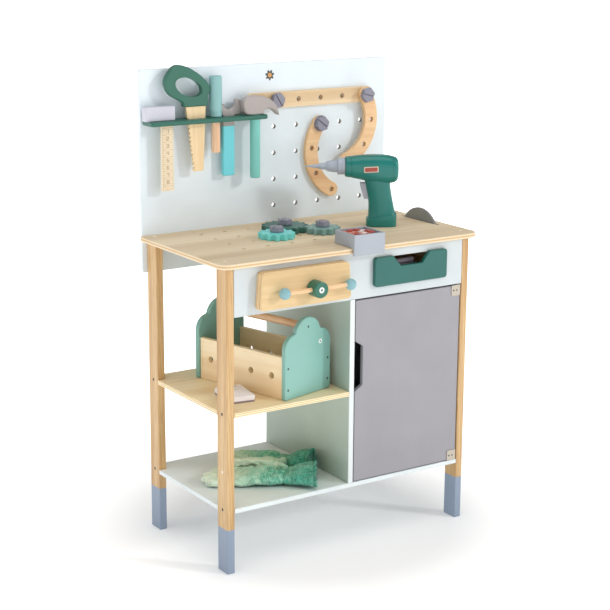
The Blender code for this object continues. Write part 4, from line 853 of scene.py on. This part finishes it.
def make_glove(body, spot, turn, length, cuff, seed, pale, fingers, thumb):
    """One knitted glove that lies flat: fingers to the left, a ribbed cuff that flares and frays.

    cuff is the cuff's half width and half height, pale says how far the pale fingertips reach, and each
    finger is (y at the palm, y at the tip, x of the tip as a share of length, radius).
    """
    frame = place(spot, turn, BOTTOM_Z)
    cuff, rise = cuff
    wrist, end = length * 0.5, length * 0.96
    bm = bmesh.new()
    finger(bm, ((-0.26 * length, 0, 12, 30, 8), (-0.18 * length, 0, 13.5, 35, 12),
                (0.04 * length, 0, 14.5, 37, 14), (0.26 * length, -1, 14, 34, 13.5),
                (wrist * 0.92, -1, 13.5, 28.5, 12.5), (wrist * 1.1, 0, 14, 29.5, 13.5),
                (0.78 * length, 0, rise * 0.95, (30 + cuff) / 2 + 1, rise * 0.9),
                (end, 0, rise, cuff, rise - 0.5)), 40)
    for y0, y1, x1, radius in fingers:
        tip = x1 * length
        finger(bm, ((-0.07 * length, y0 * 0.9, 12, radius, 9), (-0.25 * length, y0, 12, radius, 10),
                    ((tip - 0.25 * length) / 2, (y0 + y1) / 2, 11, radius * 0.98, 9.2),
                    (tip + 12, y1, 9.5, radius * 0.95, 8), (tip + 3, y1, 8.5, radius * 0.75, 6.2),
                    (tip, y1, 8, 2.5, 2)))
    center = at(spot[0], spot[1], 0)
    middle = center.x * math.cos(turn) + center.y * math.sin(turn)
    reach = length * MM
    hand = knit_form(body + "_knit", bm, frame, body, wrist, seed,
                     knit(body + "_marl", turn, middle - pale * reach, middle + 0.8 * reach))
    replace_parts(hand, body)
    bm = bmesh.new()
    finger(bm, [(x * length, y, z, wide, high) for x, y, z, wide, high in thumb])
    knit_form(body + "_thumb", bm, frame, body, 2 * length, seed + 1,
              knit(body + "_thumb_marl", turn, middle - 0.7 * reach, middle + 1.7 * reach))
    dice = random.Random(seed)
    bm = bmesh.new()
    for k in range(THREADS):
        around = TAU * (k + dice.uniform(-0.4, 0.4)) / THREADS
        root = Vector((end - 1.0, (cuff - 1.5) * math.cos(around), rise + (rise - 2.0) * math.sin(around)))
        out = Vector((1.0, 0.55 * math.cos(around) + dice.uniform(-0.3, 0.3),
                      0.55 * math.sin(around) + dice.uniform(-0.25, 0.3)))
        tip = root + out.normalized() * dice.uniform(4.0, 9.5)
        tip.z = max(tip.z, 0.9)
        side = out.cross(Vector((0.3, 0.5, 0.8))).normalized()
        other = out.cross(side).normalized()
        ring = [side * math.cos(TAU * j / 5) + other * math.sin(TAU * j / 5) for j in range(5)]
        bend = (root + tip) / 2 + Vector((0, 0, dice.uniform(-0.6, 1.2)))
        skin(bm, [[q + r * w for r in ring] for q, w in ((root, 0.9), (bend, 0.8), (tip, 0.35))])
    yarn = knit(body + "_yarn", turn, middle - 3 * reach, middle + 0.6 * reach)
    piece(body + "_fringe", bm, yarn, body, frame)


def make_gloves():
    spread = ((-27, -31, -0.84, 9.8), (-9, -10, -0.95, 10.2), (9.5, 10, -0.92, 10.0), (26.5, 29, -0.8, 9.2))
    make_glove("glove_front", (-153.0, 101.0), math.radians(-34), 116.0, (48.0, 19.0), 3, 0.9, spread,
               ((0.5, 20, 20, 10, 8), (0.3, 31, 25, 8.8, 8), (-0.02, 39, 28, 8.4, 7.8),
                (-0.32, 43, 25, 8, 7.4),
                (-0.5, 43, 20, 7, 6.5), (-0.57, 43, 18, 5, 4.5), (-0.6, 43, 18, 2.2, 1.8)))
    make_glove("glove_rear", (-90.0, 173.0), math.radians(-52), 98.0, (29.0, 22.0), 8, 1.7, spread,
               ((0.55, -24, 22, 12, 10), (0.3, -37, 23, 12, 10.5), (-0.1, -43, 21, 11, 10),
                (-0.5, -45, 17, 10, 9),
                (-0.62, -45, 14, 7, 6), (-0.66, -45, 13, 2.5, 2)))


def make_pieces():
    make_drill()
    make_vise_handle()
    make_screws()
    make_stickers()
    make_clamp_bar()
    make_ruler_marks()
    make_emblem()
    make_pegs()
    make_gloves()


# ---- stage --------------------------------------------------------------------------------------
CAMERA_AT = Vector((-1.69472, -2.52243, 1.20850))
CAMERA_YAW, CAMERA_PITCH, CAMERA_ROLL = (math.radians(a) for a in (33.598, 13.867, 0.379))
LENS = 93.39
FLOOR_HALF = 90.0
AIR_LEVEL, AIR_SLOPE = 0.36, (-0.17, 0.06, 0.0)     # brightness of the studio and its fall towards the right
HORIZON_LOW, HORIZON_HIGH, HORIZON_GLOW = 0.08, 0.3, 0.62
GLOW_NEAR, GLOW_FAR = (0.28, 0.11), (0.7, 0.85)     # distance on the floor and its painted glow, weakest near the bench for a painted shadow pool


def make_camera():
    data = bpy.data.cameras.new("camera")
    camera = bpy.data.objects.new("camera", data)
    bpy.context.scene.collection.objects.link(camera)
    data.sensor_width = 36.0
    data.lens = LENS
    data.clip_end = 200.0
    yaw, pitch, roll = CAMERA_YAW, CAMERA_PITCH, CAMERA_ROLL
    forward = Vector((math.sin(yaw) * math.cos(pitch), math.cos(yaw) * math.cos(pitch), -math.sin(pitch)))
    level = Vector((math.cos(yaw), -math.sin(yaw), 0.0))
    upright = level.cross(forward)
    right = math.cos(roll) * level + math.sin(roll) * upright
    up = -math.sin(roll) * level + math.cos(roll) * upright
    rows = Matrix((right, up, -forward)).transposed().to_4x4()
    camera.matrix_world = Matrix.Translation(CAMERA_AT) @ rows
    bpy.context.scene.camera = camera


def sun(name, toward, watts, spread, color=(1, 1, 1)):
    """A soft sun; toward points from the object to the light."""
    data = bpy.data.lights.new(name, "SUN")
    data.energy = watts
    data.angle = math.radians(spread)
    data.color = color
    lamp = bpy.data.objects.new(name, data)
    bpy.context.scene.collection.objects.link(lamp)
    lamp.rotation_mode = "QUATERNION"
    lamp.rotation_quaternion = Vector(toward).to_track_quat("Z", "Y")


def make_world():
    """White studio air: a soft slope from side to side and a bright band at the horizon."""
    world = bpy.data.worlds.new("studio")
    bpy.context.scene.world = world
    world.use_nodes = True
    nodes, links = world.node_tree.nodes, world.node_tree.links
    sky = nodes["Background"]
    sky.inputs[0].default_value = (1.0, 1.0, 1.0, 1.0)
    toward = nodes.new("ShaderNodeTexCoord").outputs["Generated"]
    slope = nodes.new("ShaderNodeVectorMath")
    slope.operation = "DOT_PRODUCT"
    slope.inputs[1].default_value = AIR_SLOPE
    level = nodes.new("ShaderNodeMath")
    level.inputs[1].default_value = AIR_LEVEL
    split = nodes.new("ShaderNodeSeparateXYZ")
    horizon = nodes.new("ShaderNodeMapRange")
    for socket, value in zip(horizon.inputs[1:5], (HORIZON_LOW, HORIZON_HIGH, HORIZON_GLOW, 0.0)):
        socket.default_value = value
    total = nodes.new("ShaderNodeMath")
    for source, target in ((toward, slope.inputs[0]), (slope.outputs["Value"], level.inputs[0]),
                           (toward, split.inputs[0]), (split.outputs["Z"], horizon.inputs[0]),
                           (level.outputs[0], total.inputs[0]), (horizon.outputs[0], total.inputs[1]),
                           (total.outputs[0], sky.inputs[1])):
        links.new(source, target)


def make_floor():
    """A plain white floor with painted light: its emission grows away from the bench, which leaves a painted
    shadow pool round the bench.
    """
    bm = bmesh.new()
    bmesh.ops.create_grid(bm, x_segments=4, y_segments=4, size=FLOOR_HALF)
    mesh = bpy.data.meshes.new("floor")
    bm.to_mesh(mesh)
    bm.free()
    floor = bpy.data.objects.new("floor", mesh)
    bpy.context.scene.collection.objects.link(floor)
    look = Look("floor_paint_and_glow", 0.9)
    look.shader.inputs["Emission Color"].default_value = (1, 1, 1, 1)
    # The emission is painted light: low near the bench for a painted shadow pool, high far off.
    spread = look.add("VectorMath", {0: look.coords()}, "Value", operation="LENGTH")
    glow = look.add("MapRange", {0: spread, 1: GLOW_NEAR[0], 2: GLOW_FAR[0], 3: GLOW_NEAR[1], 4: GLOW_FAR[1]})
    look.put(look.shader.inputs["Emission Strength"], glow)
    look.color(look.ramp(look.noise(look.coords(), 1.5), [(0.3, 0.86), (0.7, 0.88)]))
    mesh.materials.append(look.material)


def make_stage():
    bpy.context.scene.view_settings.view_transform = "Standard"
    make_world()
    make_floor()
    sun("key", (0.62, -0.72, 0.42), 1.0, 8.0, (1.0, 0.99, 0.975))
    sun("top", (-0.1, -0.2, 1.0), 1.2, 60.0)


make_camera()
make_stage()
dress_frame()
make_pieces()
